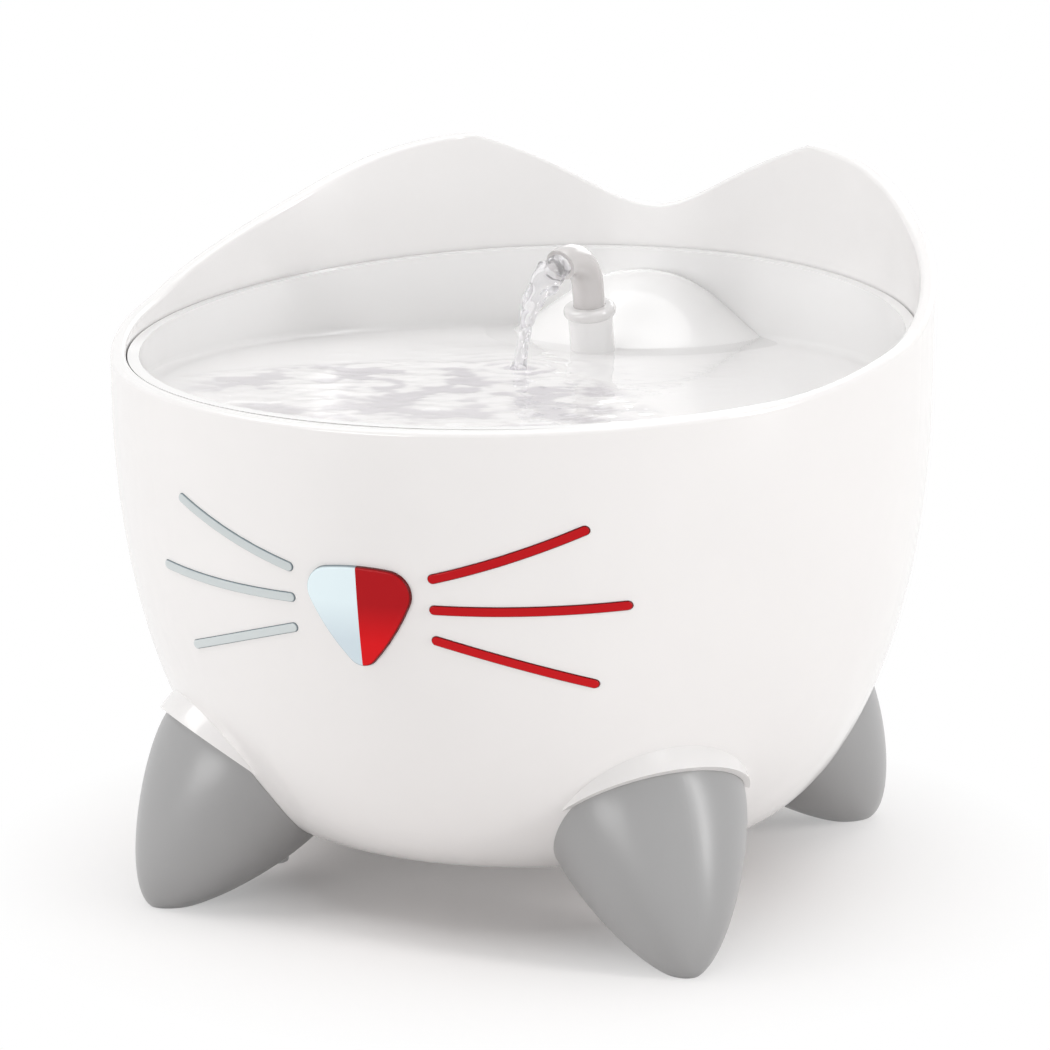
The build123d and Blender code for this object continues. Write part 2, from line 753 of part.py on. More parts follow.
def block(half_width, start_y, end_y, low_z, high_z, mode=Mode.ADD):
    """Upright block between two places along Y, in the part being built."""
    with Locations((0, start_y, low_z)):
        Box(2 * half_width, end_y - start_y, high_z - low_z,
            align=(Align.CENTER, Align.MIN, Align.MIN), mode=mode)


with BuildPart() as pump_body:
    block(pump_half_width, pump_front_y, volute_back_y, pump_low_z, pump_high_z)
    fillet(pump_body.edges().filter_by(Axis.Y), pump_wall)
    block(pump_half_width - pump_wall, pump_front_y, chamber_front_y - 2 * pump_wall,
          pump_low_z + pump_wall, pump_high_z - pump_wall, Mode.SUBTRACT)
    level_disc(well_front_y - well_wall, chamber_front_y, well_radius + well_wall)
    level_disc(well_front_y, chamber_front_y, well_radius, Mode.SUBTRACT)
    level_disc(chamber_front_y, volute_back_y, volute_radius, Mode.SUBTRACT)
    with BuildSketch(Plane.XY.offset(pump_high_z)):
        with Locations((0, nozzle_y)):
            Circle(nozzle_radius)
    extrude(amount=pump_nozzle_top_z - pump_high_z)
    with BuildSketch(Plane.XY.offset(rotor_z)):
        with Locations((0, nozzle_y)):
            Circle(nozzle_bore)
    extrude(amount=pump_nozzle_top_z - rotor_z, mode=Mode.SUBTRACT)
    level_disc(well_front_y - well_wall / 2, well_front_y, shaft_radius + seat_gap / 2, Mode.SUBTRACT)
keep("pump_body", pump_body.part)

with BuildPart() as motor_cap:
    block(pump_half_width, pump_front_y - motor_cap_thickness, pump_front_y, pump_low_z, pump_high_z)
    fillet(motor_cap.edges().filter_by(Axis.Y), pump_wall)
    inside = pump_half_width - pump_wall - seat_gap
    block(inside, pump_front_y, pump_front_y + motor_cap_thickness / 2,
          pump_low_z + pump_wall + seat_gap, pump_high_z - pump_wall - seat_gap)
keep("motor_cap", motor_cap.part)

limb_high_z = limb_low_z + limb_height
core_half_width = pump_half_width - pump_wall - 1.0
core_front_y = well_front_y + 2.0
core_back_y = chamber_front_y - 2 * pump_wall - 2.5
coil_half_width = core_half_width - limb_height - 1.0
tube_radius = well_radius + well_wall
with BuildPart() as stator_core:
    block(core_half_width, core_front_y, core_back_y, limb_low_z, rotor_z + tube_radius)
    level_disc(core_front_y, core_back_y, tube_radius + seat_gap, Mode.SUBTRACT)
    block(coil_half_width + 0.5, core_front_y, core_back_y, limb_high_z,
          rotor_z + tube_radius, Mode.SUBTRACT)
keep("stator_core", stator_core.part)

with BuildPart() as stator_coil:
    block(coil_half_width, core_front_y - coil_margin, core_back_y + coil_margin,
          limb_low_z - coil_margin, limb_high_z + coil_margin)
    fillet(stator_coil.edges().filter_by(Axis.X), coil_margin / 2)
    block(coil_half_width, core_front_y - seat_gap, core_back_y + seat_gap,
          limb_low_z - seat_gap, limb_high_z + seat_gap, Mode.SUBTRACT)
keep("stator_coil", stator_coil.part)

with BuildPart() as rotor_magnet:
    level_disc(magnet_front_y, magnet_back_y, magnet_radius)
    level_disc(magnet_front_y, magnet_back_y, shaft_radius + shaft_gap, Mode.SUBTRACT)
    fillet(rotor_magnet.edges().filter_by(GeomType.CIRCLE).group_by(SortBy.RADIUS)[-1], 0.6)
keep("rotor_magnet", rotor_magnet.part)

with BuildPart() as impeller:
    level_disc(magnet_back_y, impeller_back_y, impeller_hub)
    level_disc(magnet_back_y, magnet_back_y + blade_thickness, impeller_radius)
    with Locations(Plane(origin=(0, magnet_back_y, rotor_z), z_dir=(0, 1, 0))):
        with PolarLocations(impeller_hub + (impeller_radius - impeller_hub) / 2 - 0.3,
                            impeller_blades):
            Box(impeller_radius - impeller_hub, blade_thickness, impeller_back_y - magnet_back_y,
                align=(Align.CENTER, Align.CENTER, Align.MIN))
    level_disc(magnet_back_y, impeller_back_y, shaft_radius + shaft_gap, Mode.SUBTRACT)
keep("impeller", impeller.part)

with BuildPart() as rotor_shaft:
    level_disc(well_front_y - well_wall / 2, volute_back_y + pump_cover_thickness / 2, shaft_radius)
keep("rotor_shaft", rotor_shaft.part)

with BuildPart() as shaft_bushes:
    for start_y in (well_front_y, volute_back_y - bush_length):
        level_disc(start_y, start_y + bush_length, bush_radius)
        level_disc(start_y, start_y + bush_length, shaft_radius + seat_gap / 2, Mode.SUBTRACT)
keep("shaft_bushes", shaft_bushes.part)

with BuildPart() as pump_cover:
    block(pump_half_width, volute_back_y, pump_back_y, pump_low_z, pump_high_z)
    fillet(pump_cover.edges().filter_by(Axis.Y), pump_wall)
    level_disc(pump_back_y, pump_back_y + dial_thickness + 1, inlet_ring_radius)
    level_disc(volute_back_y, pump_back_y + dial_thickness + 1, inlet_radius, Mode.SUBTRACT)
    level_disc(volute_back_y, volute_back_y + pump_cover_thickness, bush_radius)
    with Locations((0, volute_back_y, rotor_z)):
        Box(2 * inlet_radius + 1, pump_cover_thickness, blade_thickness,
            align=(Align.CENTER, Align.MIN, Align.CENTER))
        Box(blade_thickness, pump_cover_thickness, 2 * inlet_radius + 1,
            align=(Align.CENTER, Align.MIN, Align.CENTER))
    level_disc(volute_back_y, volute_back_y + pump_cover_thickness / 2, shaft_radius + seat_gap / 2,
               Mode.SUBTRACT)
    level_disc(volute_back_y, volute_back_y + seal_depth, seal_radius + seal_width, Mode.SUBTRACT)
    level_disc(volute_back_y, volute_back_y + seal_depth, seal_radius)
    level_disc(volute_back_y, volute_back_y + seal_depth, inlet_radius, Mode.SUBTRACT)
    level_disc(volute_back_y, volute_back_y + seal_depth, bush_radius)
    level_disc(volute_back_y, volute_back_y + pump_cover_thickness / 2, shaft_radius + seat_gap / 2,
               Mode.SUBTRACT)
    with Locations(Plane(origin=(0, volute_back_y, rotor_z), z_dir=(0, 1, 0))):
        with PolarLocations(dial_port_ring, dial_ports):
            Cylinder(dial_port_radius, pump_cover_thickness,
                     align=(Align.CENTER, Align.CENTER, Align.MIN), mode=Mode.SUBTRACT)
keep("pump_cover", pump_cover.part)

with BuildPart() as cover_seal:
    level_disc(volute_back_y, volute_back_y + seal_depth - seat_gap, seal_radius + seal_width - seat_gap)
    level_disc(volute_back_y, volute_back_y + seal_depth - seat_gap, seal_radius + seat_gap,
               Mode.SUBTRACT)
keep("cover_seal", cover_seal.part)

with BuildPart() as flow_dial:
    level_disc(pump_back_y + seat_gap, pump_back_y + dial_thickness, dial_radius)
    with Locations((0, pump_back_y + seat_gap, rotor_z + dial_radius - 1)):
        Box(dial_tab, dial_thickness - seat_gap, dial_tab,
            align=(Align.CENTER, Align.MIN, Align.MIN))
    level_disc(pump_back_y, pump_back_y + dial_thickness, inlet_ring_radius + swivel_gap,
               Mode.SUBTRACT)
    with Locations(Plane(origin=(0, pump_back_y, rotor_z), z_dir=(0, 1, 0))):
        with PolarLocations(dial_port_ring, dial_ports):
            Cylinder(dial_port_radius, 2 * dial_thickness,
                     align=(Align.CENTER, Align.CENTER, Align.MIN), mode=Mode.SUBTRACT)
keep("flow_dial", flow_dial.part)

with BuildPart() as suction_cups:
    for place_x, place_y in cup_places:
        with Locations((place_x, place_y, inner_floor_z)):
            Cone(cup_radius, cup_neck, pump_low_z - inner_floor_z,
                 align=(Align.CENTER, Align.CENTER, Align.MIN))
            Cone(cup_radius - 1, 0.8, (pump_low_z - inner_floor_z) / 3,
                 align=(Align.CENTER, Align.CENTER, Align.MIN), mode=Mode.SUBTRACT)
keep("suction_cups", suction_cups.part)

# ---------------------------------------------------------------- housing and filter

with BuildPart() as pump_housing:
    block(housing_half_width, housing_front_y, housing_back_y, housing_low_z, housing_high_z)
    fillet(pump_housing.edges().filter_by(Axis.Z).group_by(Axis.Y)[-1], housing_corner)
    with BuildSketch(Plane.XY.offset(housing_low_z)):
        inside = housing_half_width - housing_wall
        with Locations((0, housing_front_y)):
            Rectangle(2 * inside, housing_back_y - housing_front_y - housing_wall,
                      align=(Align.CENTER, Align.MIN))
    extrude(amount=housing_high_z - housing_low_z - housing_wall, mode=Mode.SUBTRACT)
    for side in (-1, 1):
        with Locations((side * (housing_half_width - rail_width / 2), housing_front_y, housing_low_z)):
            Box(rail_width, rail_depth, rail_high_z - housing_low_z,
                align=(Align.CENTER, Align.MAX, Align.MIN))
    groove_front_y = housing_front_y - rail_depth + rail_lip
    block(filter_half_width + lift_gap, groove_front_y, groove_front_y + filter_thickness + lift_gap,
          filter_low_z, rail_high_z, Mode.SUBTRACT)
    for place_x, place_y in leg_places:
        with Locations((place_x, place_y, inner_floor_z)):
            Cylinder(leg_radius, housing_low_z - inner_floor_z + housing_wall,
                     align=(Align.CENTER, Align.CENTER, Align.MIN))
    with Locations((housing_half_width, lead_slot_y, housing_low_z)):
        Box(3 * housing_wall, 4 * lead_radius, rotor_z + 3 * lead_radius - housing_low_z,
            align=(Align.CENTER, Align.CENTER, Align.MIN), mode=Mode.SUBTRACT)
    with BuildSketch(Plane.XY.offset(housing_high_z)):
        with Locations((0, nozzle_y)):
            Circle(nozzle_radius + 2 * lift_gap)
    extrude(amount=-2 * housing_wall, mode=Mode.SUBTRACT)
keep("pump_housing", pump_housing.part)

filter_back_y = groove_front_y + lift_gap / 2 + filter_thickness
filter_front_y = filter_back_y - filter_thickness
window_half_width = filter_half_width - filter_border
window_low_z = filter_low_z + filter_border
window_high_z = filter_high_z - filter_border
with BuildPart() as filter_frame:
    block(filter_half_width, filter_front_y, filter_back_y, filter_low_z, filter_high_z)
    fillet(filter_frame.edges().filter_by(Axis.Y), 2.0)
    block(window_half_width, filter_front_y, filter_back_y, window_low_z, window_high_z,
          Mode.SUBTRACT)
    with Locations((0, filter_front_y + filter_bar_depth / 2, (window_low_z + window_high_z) / 2),
                   (0, filter_back_y - filter_bar_depth / 2, (window_low_z + window_high_z) / 2)):
        with GridLocations(2 * window_half_width / (filter_bars + 1), 1, filter_bars, 1):
            Box(filter_bar_width, filter_bar_depth, window_high_z - window_low_z)
    with Locations((0, (filter_front_y + filter_back_y) / 2, filter_high_z)):
        Box(filter_tab_width, filter_thickness / 2, filter_tab_height,
            align=(Align.CENTER, Align.CENTER, Align.MIN))
keep("filter_frame", filter_frame.part)

with BuildPart() as filter_pad:
    block(window_half_width - seat_gap, filter_front_y + filter_bar_depth + seat_gap,
          filter_back_y - filter_bar_depth - seat_gap, window_low_z + seat_gap,
          window_high_z - seat_gap)
keep("filter_pad", filter_pad.part)

with BuildPart() as foam_block:
    block(housing_half_width - housing_wall - lift_gap, pump_front_y - motor_cap_thickness
          - foam_thickness - seat_gap, pump_front_y - motor_cap_thickness - seat_gap,
          housing_low_z + seat_gap, housing_high_z - housing_wall - lift_gap)
keep("foam_block", foam_block.part)

# ---------------------------------------------------------------- power inlet and leads

inlet_centre = Plane(origin=(0, inlet_pad_y, inlet_axis_z), x_dir=(1, 0, 0), z_dir=(0, 1, 0))
with BuildPart() as power_inlet:
    with BuildSketch(inlet_centre):
        Circle(inlet_flange_radius)
    extrude(amount=inlet_flange_thickness)
    fillet(power_inlet.edges().group_by(Axis.Y)[-1], inlet_flange_thickness / 3)
    with BuildSketch(inlet_centre):
        Circle(inlet_body_radius)
    extrude(amount=-inlet_body_length)
    with BuildSketch(inlet_centre.offset(inlet_flange_thickness)):
        Circle(jack_radius)
    extrude(amount=-jack_depth, mode=Mode.SUBTRACT)
keep("power_inlet", power_inlet.part)

with BuildPart() as inlet_gasket:
    with BuildSketch(inlet_centre.offset(-inlet_gasket_thickness)):
        Circle(inlet_gasket_radius - seat_gap)
        Circle(inlet_body_radius + seat_gap, mode=Mode.SUBTRACT)
    extrude(amount=inlet_gasket_thickness)
keep("inlet_gasket", inlet_gasket.part)

with BuildPart() as inlet_nut:
    with BuildSketch(inlet_centre.offset(inlet_inner_y - inlet_pad_y)):
        RegularPolygon(nut_across / 2, 6, major_radius=False)
        Circle(inlet_body_radius + seat_gap, mode=Mode.SUBTRACT)
    extrude(amount=-nut_thickness)
    chamfer(inlet_nut.edges().group_by(Axis.Y)[0], 0.5)
keep("inlet_nut", inlet_nut.part)


def turn_radii(points):
    """Bend radius at each inner point of a route: 0.45 of the shorter run over tan(turn / 2)."""
    radii = []
    for before, here, after in zip(points, points[1:], points[2:]):
        arriving = Vector(*here) - Vector(*before)
        leaving = Vector(*after) - Vector(*here)
        half_turn = radians(arriving.get_angle(leaving)) / 2
        radii.append(0.45 * min(arriving.length, leaving.length) / tan(half_turn))
    return radii


def lead(points):
    """Round cable along straight runs joined by arcs."""
    radii = turn_radii(points)
    print("lead bends", [round(radius, 1) for radius in radii])
    with BuildPart() as cable:
        with BuildLine() as route:
            FilletPolyline(*points, radius=radii)
        with BuildSketch(Plane(origin=route.line @ 0, z_dir=route.line % 0)):
            Circle(lead_radius)
        sweep(path=route.wire())
    share = cable.part.volume / (pi * lead_radius ** 2 * route.wire().length)
    print("lead volume over section times length", round(share, 4))
    return cable.part


inlet_end_y = inlet_pad_y - inlet_body_length
lead_exit = radial(front_angle - 20.0).x_dir * 90.0
keep("pump_lead", lead([
    (pump_half_width, 36.0, rotor_z), (26.0, 36.0, rotor_z), (34.0, 42.0, 49.0),
    (38.0, 52.0, 53.5), (36.0, 62.5, 60.0), (28.5, 70.5, 67.5), (18.0, 74.0, 75.0),
    (8.0, 76.5, 79.3), (lead_offset, 81.5, inlet_axis_z),
    (lead_offset, inlet_end_y, inlet_axis_z)]))
keep("light_lead", lead([
    (lead_exit.X, lead_exit.Y, chamber_low_z), (lead_exit.X, lead_exit.Y, 62.0),
    (-31.5, -79.0, 50.0), (-34.0, -68.0, 38.5), (-36.5, -54.0, 28.5), (-38.0, -40.0, 24.0),
    (-38.5, -24.0, 22.8), (-38.2, -7.0, 22.7), (-38.6, 10.0, 22.9), (-39.5, 26.0, 24.5),
    (-39.5, 41.0, 31.0), (-37.0, 53.0, 42.0), (-32.0, 63.5, 54.0), (-25.5, 71.0, 65.5),
    (-16.5, 74.5, 74.5), (-7.8, 76.5, 79.2), (-lead_offset, 81.5, inlet_axis_z),
    (-lead_offset, inlet_end_y, inlet_axis_z)]))
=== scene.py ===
# %% [markdown]
# # A pet water fountain, dressed and lit
# The engineering model of the fountain arrives as a fixed frame: forty named parts, each already
# where it belongs. This file adds what solids can't show: the water in the basin, the falling
# stream, the soft filter parts, the finish of every surface, and the light. It works in metres,
# and small sizes are written as so many MM.

# %% Load the frame
import math

import bpy
from mathutils import Matrix, Vector


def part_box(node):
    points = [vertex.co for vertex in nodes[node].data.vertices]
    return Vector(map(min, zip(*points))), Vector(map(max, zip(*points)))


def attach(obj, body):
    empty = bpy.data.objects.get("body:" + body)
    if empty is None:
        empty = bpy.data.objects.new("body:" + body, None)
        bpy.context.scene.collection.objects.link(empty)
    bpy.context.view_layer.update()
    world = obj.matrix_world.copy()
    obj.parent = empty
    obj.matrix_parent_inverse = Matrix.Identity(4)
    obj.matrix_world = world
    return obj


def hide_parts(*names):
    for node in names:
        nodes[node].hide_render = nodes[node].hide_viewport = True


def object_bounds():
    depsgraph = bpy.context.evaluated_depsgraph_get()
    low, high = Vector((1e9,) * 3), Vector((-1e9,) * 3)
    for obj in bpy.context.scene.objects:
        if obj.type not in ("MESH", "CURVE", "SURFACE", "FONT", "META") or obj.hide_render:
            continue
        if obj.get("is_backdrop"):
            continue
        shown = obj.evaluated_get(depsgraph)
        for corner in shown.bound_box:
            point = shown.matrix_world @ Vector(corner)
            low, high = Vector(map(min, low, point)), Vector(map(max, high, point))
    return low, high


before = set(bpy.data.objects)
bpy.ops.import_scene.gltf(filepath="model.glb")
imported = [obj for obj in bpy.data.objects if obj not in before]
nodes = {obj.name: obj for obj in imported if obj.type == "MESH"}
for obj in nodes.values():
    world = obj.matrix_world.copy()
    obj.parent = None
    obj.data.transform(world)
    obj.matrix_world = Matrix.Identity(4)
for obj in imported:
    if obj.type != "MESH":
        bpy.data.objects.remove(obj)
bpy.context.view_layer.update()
MM = 0.001

# %% [markdown]
# ## The camera
# A long lens from a little above the rim keeps the bowl's sides nearly upright, which is how such
# a small household thing is usually shown. Its three directions are written out, because a
# camera is easiest to repeat exactly from the way it looks and the way that is level.

# %% Place the camera
CAMERA_PLACE = Vector((304.9, -774.8, 269.9)) * MM
LENS = 108.1             # focal length in mm, on a sensor 36 mm wide
ahead = Vector((-0.3573, 0.9105, -0.2079)).normalized()
level = Vector((0.9309, 0.3654, 0.0)).normalized()
upward = level.cross(ahead)
camera_data = bpy.data.cameras.new("camera")
camera_data.sensor_width = 36.0
camera_data.lens = LENS
camera_data.clip_start = 0.05
camera = bpy.data.objects.new("camera", camera_data)
bpy.context.scene.collection.objects.link(camera)
turned = Matrix((level, upward, -ahead)).transposed().to_4x4()
camera.matrix_world = Matrix.Translation(CAMERA_PLACE) @ turned
bpy.context.scene.camera = camera
print("camera looks", [round(v, 3) for v in ahead])

# %% [markdown]
# ## The floor
# The floor is plain white and only catches the shadow.

# %% Lay the floor
bpy.ops.object.select_all(action="DESELECT")
bpy.ops.mesh.primitive_plane_add(size=8.0, location=(0, 0, 0))
floor = bpy.context.object
floor.name = "floor"
floor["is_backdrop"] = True
print("floor", round(floor.dimensions.x, 2), "m wide")

# %% [markdown]
# In a studio the paper runs up behind the object in one long curve, so that nothing shows where
# it ends. Here a flat floor does the same: near the fountain it is ordinary matt paint, and
# farther out it fades into a plain white for the eye of the camera alone, which is how it meets
# the white background without any more light falling on the fountain. From below the floor is
# clear, so that the underside can be seen. Three small helpers do the arithmetic of the paint,
# and a fourth tells rays that look from rays that light.

# %% Paint the floor


def maths(tree, operation, *values):
    """Result of an operation on values that are sockets or numbers."""
    node = tree.nodes.new("ShaderNodeMath")
    node.operation = operation
    for socket, value in zip(node.inputs, values):
        if isinstance(value, bpy.types.NodeSocket):
            tree.links.new(value, socket)
        else:
            socket.default_value = value
    return node.outputs[0]


def mapped(tree, value, first, last, low=0.0, high=1.0):
    """Value carried from the range first to last over to low to high, and held at the ends."""
    node = tree.nodes.new("ShaderNodeMapRange")
    node.inputs["From Min"].default_value = first
    node.inputs["From Max"].default_value = last
    node.inputs["To Min"].default_value = low
    node.inputs["To Max"].default_value = high
    tree.links.new(value, node.inputs["Value"])
    return node.outputs[0]


def mixed_shaders(tree, share, first, second):
    """Shader that goes from first to second as the share goes from 0 to 1."""
    node = tree.nodes.new("ShaderNodeMixShader")
    tree.links.new(share, node.inputs["Fac"])
    tree.links.new(first, node.inputs[1])
    tree.links.new(second, node.inputs[2])
    return node.outputs[0]


def seen_directly(tree):
    """Socket that is 1 for what the camera, a reflection or clear water sees, and 0 for light."""
    rays = tree.nodes.new("ShaderNodeLightPath").outputs
    looking = maths(tree, "MAXIMUM", rays["Is Camera Ray"], rays["Is Glossy Ray"])
    looking = maths(tree, "MAXIMUM", looking, rays["Is Transmission Ray"])
    # light that reaches a matt surface through the water is light all the same
    unspent = maths(tree, "LESS_THAN", rays["Diffuse Depth"], 0.5)
    return maths(tree, "MULTIPLY", looking, unspent)


FLOOR_COLOUR = (0.80, 0.775, 0.765)
FLOOR_LIFT = 0.12        # brightness added near the fountain, for the camera alone
FADE_START = 62.0 * MM   # distances from the fountain's middle
FADE_END = 150.0 * MM
floor_paint = bpy.data.materials.new("floor_paint")
floor_paint.use_nodes = True
tree = floor_paint.node_tree
tree.nodes.clear()
seen = seen_directly(tree)
matt = tree.nodes.new("ShaderNodeBsdfDiffuse")
matt.inputs["Color"].default_value = (*FLOOR_COLOUR, 1)
lift = tree.nodes.new("ShaderNodeEmission")
tree.links.new(maths(tree, "MULTIPLY", seen, FLOOR_LIFT), lift.inputs["Strength"])
near_paint = tree.nodes.new("ShaderNodeAddShader")
tree.links.new(matt.outputs[0], near_paint.inputs[0])
tree.links.new(lift.outputs[0], near_paint.inputs[1])
far_white = tree.nodes.new("ShaderNodeEmission")
far_white.inputs["Strength"].default_value = 1.0
distance = tree.nodes.new("ShaderNodeVectorMath")
distance.operation = "LENGTH"
tree.links.new(tree.nodes.new("ShaderNodeTexCoord").outputs["Object"], distance.inputs[0])
fade = mapped(tree, distance.outputs["Value"], FADE_START, FADE_END)
from_above = mixed_shaders(tree, maths(tree, "MULTIPLY", fade, seen),
                           near_paint.outputs[0], far_white.outputs[0])
underneath = tree.nodes.new("ShaderNodeNewGeometry").outputs["Backfacing"]
nothing = tree.nodes.new("ShaderNodeBsdfTransparent").outputs[0]
paint_out = tree.nodes.new("ShaderNodeOutputMaterial")
tree.links.new(mixed_shaders(tree, underneath, from_above, nothing), paint_out.inputs["Surface"])
floor.data.materials.append(floor_paint)
print("floor fades from", round(FADE_START, 3), "to", round(FADE_END, 3), "m")

# %% [markdown]
# ## The light
# White plastic is all about gentle steps of grey, so every lamp is large and soft. The largest
# hangs overhead and lights the water and the inside of the bowl, with a smaller one high on the
# left. A low wide one in front on the left lights the belly and the face, a tall narrow one on
# the right lifts that side, and a weak one stands behind. The room itself gives the rest.

# %% Hang the lamps
ROOM_LIGHT = 0.29        # what the white room gives as light. It is seen as 1
world = bpy.data.worlds.new("white_room")
bpy.context.scene.world = world
world.use_nodes = True
tree = world.node_tree
sky = tree.nodes["Background"]
tree.links.new(mapped(tree, seen_directly(tree), 0.0, 1.0, ROOM_LIGHT, 1.0),
               sky.inputs["Strength"])
sky.inputs["Color"].default_value = (1, 1, 1, 1)


def lamp(name, place, target, width, height, power):
    """Soft rectangular lamp at a place, turned towards a target."""
    data = bpy.data.lights.new(name, "AREA")
    data.shape = "RECTANGLE"
    data.size, data.size_y, data.energy = width, height, power
    made = bpy.data.objects.new(name, data)
    bpy.context.scene.collection.objects.link(made)
    made.location = place
    made.visible_transmission = False    # the water throws no shadow, so it passes no lamp twice
    made.rotation_euler = (Vector(target) - Vector(place)).to_track_quat("-Z", "Y").to_euler()
    return made


lamp("lamp_top", (0.0, 0.10, 1.60), (0, 0, 0.08), 1.4, 1.4, 10.2)
lamp("lamp_left", (-1.10, -0.50, 1.40), (0, 0, 0.08), 0.9, 0.9, 9.0)
lamp("lamp_front", (-0.60, -1.55, 0.32), (0, 0, 0.08), 0.9, 0.6, 9.0)
lamp("lamp_right", (1.38, -0.10, 0.50), (0, 0, 0.10), 0.22, 1.3, 12.0)
lamp("lamp_back", (0.10, 1.40, 0.70), (0, 0, 0.10), 1.2, 0.8, 5.0)

# %% [markdown]
# ## Finishes
# Nearly everything here is injection-moulded plastic. What tells one plastic from another is its
# gloss and its skin: a polished mould leaves a mirror with a faint orange peel, a spark-eroded
# one leaves a fine even grain. So one recipe serves them all, with a colour that drifts a little,
# a roughness that drifts a little, and a skin of the right size. Lumps and depths are given in
# millimetres here, as a toolmaker would.

# %% The moulded recipe
COLOUR_A, COLOUR_B, COLOUR_OUT = 6, 7, 2    # a Mix node's colour sockets


def finish_base(name):
    """New material with its Principled shader, its node tree and object coordinates."""
    material = bpy.data.materials.new(name)
    material.use_nodes = True
    tree = material.node_tree
    shader = tree.nodes["Principled BSDF"]
    place = tree.nodes.new("ShaderNodeTexCoord").outputs["Object"]
    return material, tree, shader, place


def noise(tree, place, size, detail=2.0, stretch=(1, 1, 1)):
    """Value noise whose lumps are about size millimetres across."""
    stretched = tree.nodes.new("ShaderNodeMapping")
    stretched.inputs["Scale"].default_value = stretch
    tree.links.new(place, stretched.inputs["Vector"])
    texture = tree.nodes.new("ShaderNodeTexNoise")
    texture.inputs["Scale"].default_value = 1.0 / (size * MM)
    texture.inputs["Detail"].default_value = detail
    tree.links.new(stretched.outputs[0], texture.inputs["Vector"])
    return texture.outputs["Fac"]


def ramp(tree, value, low, high):
    """Noise, whose values crowd about its middle, spread from low to high."""
    return mapped(tree, value, 0.25, 0.75, low, high)


def mixed(tree, share, first, second):
    """Colour between two colours."""
    mix = tree.nodes.new("ShaderNodeMix")
    mix.data_type = "RGBA"
    for socket, colour in ((COLOUR_A, first), (COLOUR_B, second)):
        if isinstance(colour, tuple):
            mix.inputs[socket].default_value = (*colour, 1)
        else:
            tree.links.new(colour, mix.inputs[socket])
    tree.links.new(share, mix.inputs[0])
    return mix.outputs[COLOUR_OUT]


def skin(tree, shader, height, distance, strength=0.3):
    """Bump from a height value, a given distance deep in millimetres."""
    bump = tree.nodes.new("ShaderNodeBump")
    bump.inputs["Strength"].default_value = strength
    bump.inputs["Distance"].default_value = distance * MM
    tree.links.new(height, bump.inputs["Height"])
    tree.links.new(bump.outputs["Normal"], shader.inputs["Normal"])


def moulded(name, colour, roughness, grain, depth, drift=0.03, coat=0.0):
    """Moulded plastic: a colour, a roughness, and a skin of the given grain and depth."""
    material, tree, shader, place = finish_base(name)
    darker = tuple(max(0.0, v * (1 - drift)) for v in colour)
    slow = noise(tree, place, 30.0)
    tree.links.new(mixed(tree, slow, darker, colour), shader.inputs["Base Color"])
    tree.links.new(ramp(tree, slow, roughness * 0.9, roughness * 1.1), shader.inputs["Roughness"])
    shader.inputs["IOR"].default_value = 1.5
    shader.inputs["Coat Weight"].default_value = coat
    shader.inputs["Coat Roughness"].default_value = 0.06
    skin(tree, shader, noise(tree, place, grain), depth)
    return material


shell_white = moulded("shell_white", (0.868, 0.854, 0.847), 0.24, 4.0, 0.06, coat=0.35)
tray_white = moulded("tray_white", (0.868, 0.86, 0.856), 0.22, 4.0, 0.05, coat=0.35)
foot_grey = moulded("foot_grey", (0.37, 0.37, 0.372), 0.32, 0.7, 0.04, drift=0.06)
spout_plastic = moulded("spout_plastic", (0.62, 0.595, 0.588), 0.16, 4.0, 0.05, coat=0.6)
ring_plastic = moulded("ring_plastic", (0.77, 0.755, 0.75), 0.14, 4.0, 0.05, coat=0.6)
cover_plastic = moulded("cover_plastic", (0.72, 0.72, 0.73), 0.5, 0.9, 0.06)
pump_plastic = moulded("pump_plastic", (0.035, 0.036, 0.04), 0.45, 0.8, 0.08, drift=0.15)
dial_plastic = moulded("dial_plastic", (0.12, 0.15, 0.18), 0.4, 0.8, 0.06, drift=0.1)
impeller_plastic = moulded("impeller_plastic", (0.74, 0.74, 0.72), 0.4, 0.9, 0.04)
bush_ceramic = moulded("bush_ceramic", (0.82, 0.81, 0.78), 0.35, 0.5, 0.02)
inlet_plastic = moulded("inlet_plastic", (0.03, 0.03, 0.032), 0.38, 0.7, 0.05, drift=0.15)
print("materials so far", len(bpy.data.materials))

# %% [markdown]
# ## Lights in the face
# The nose and the whiskers are coloured caps over small lamps. The fountain can show either of
# two states, and here each half of the face shows one: pale when all is well on the left, red
# when it wants attention on the right. The nose is one cap, so its material changes colour at
# its middle. Each half is also painted lighter or darker above and below a line, as painted light
# and shade: the red is deeper in its upper half and the pale in its bottom half. The turned edges
# of a cap are painted darker, as painted shade, because the light comes out of its face. Red
# plastic under white light turns pink, because it mirrors the room. The lamp behind it adds pure
# red from inside, so part of the colour is given as light, and the gloss is kept low.

# %% The lens caps
# colours painted on the caps' turned edges, as painted shade
PALE_EDGE_SHADE = (0.20, 0.24, 0.26)
RED_EDGE_SHADE = (0.10, 0.001, 0.002)
FACE_FACING, EDGE_FACING = 0.96, 0.55    # cosine to the outward direction, on a face and an edge
BLEND_ABOVE, BLEND_BELOW = 4.0 * MM, 6.0 * MM    # of the height where the two halves meet


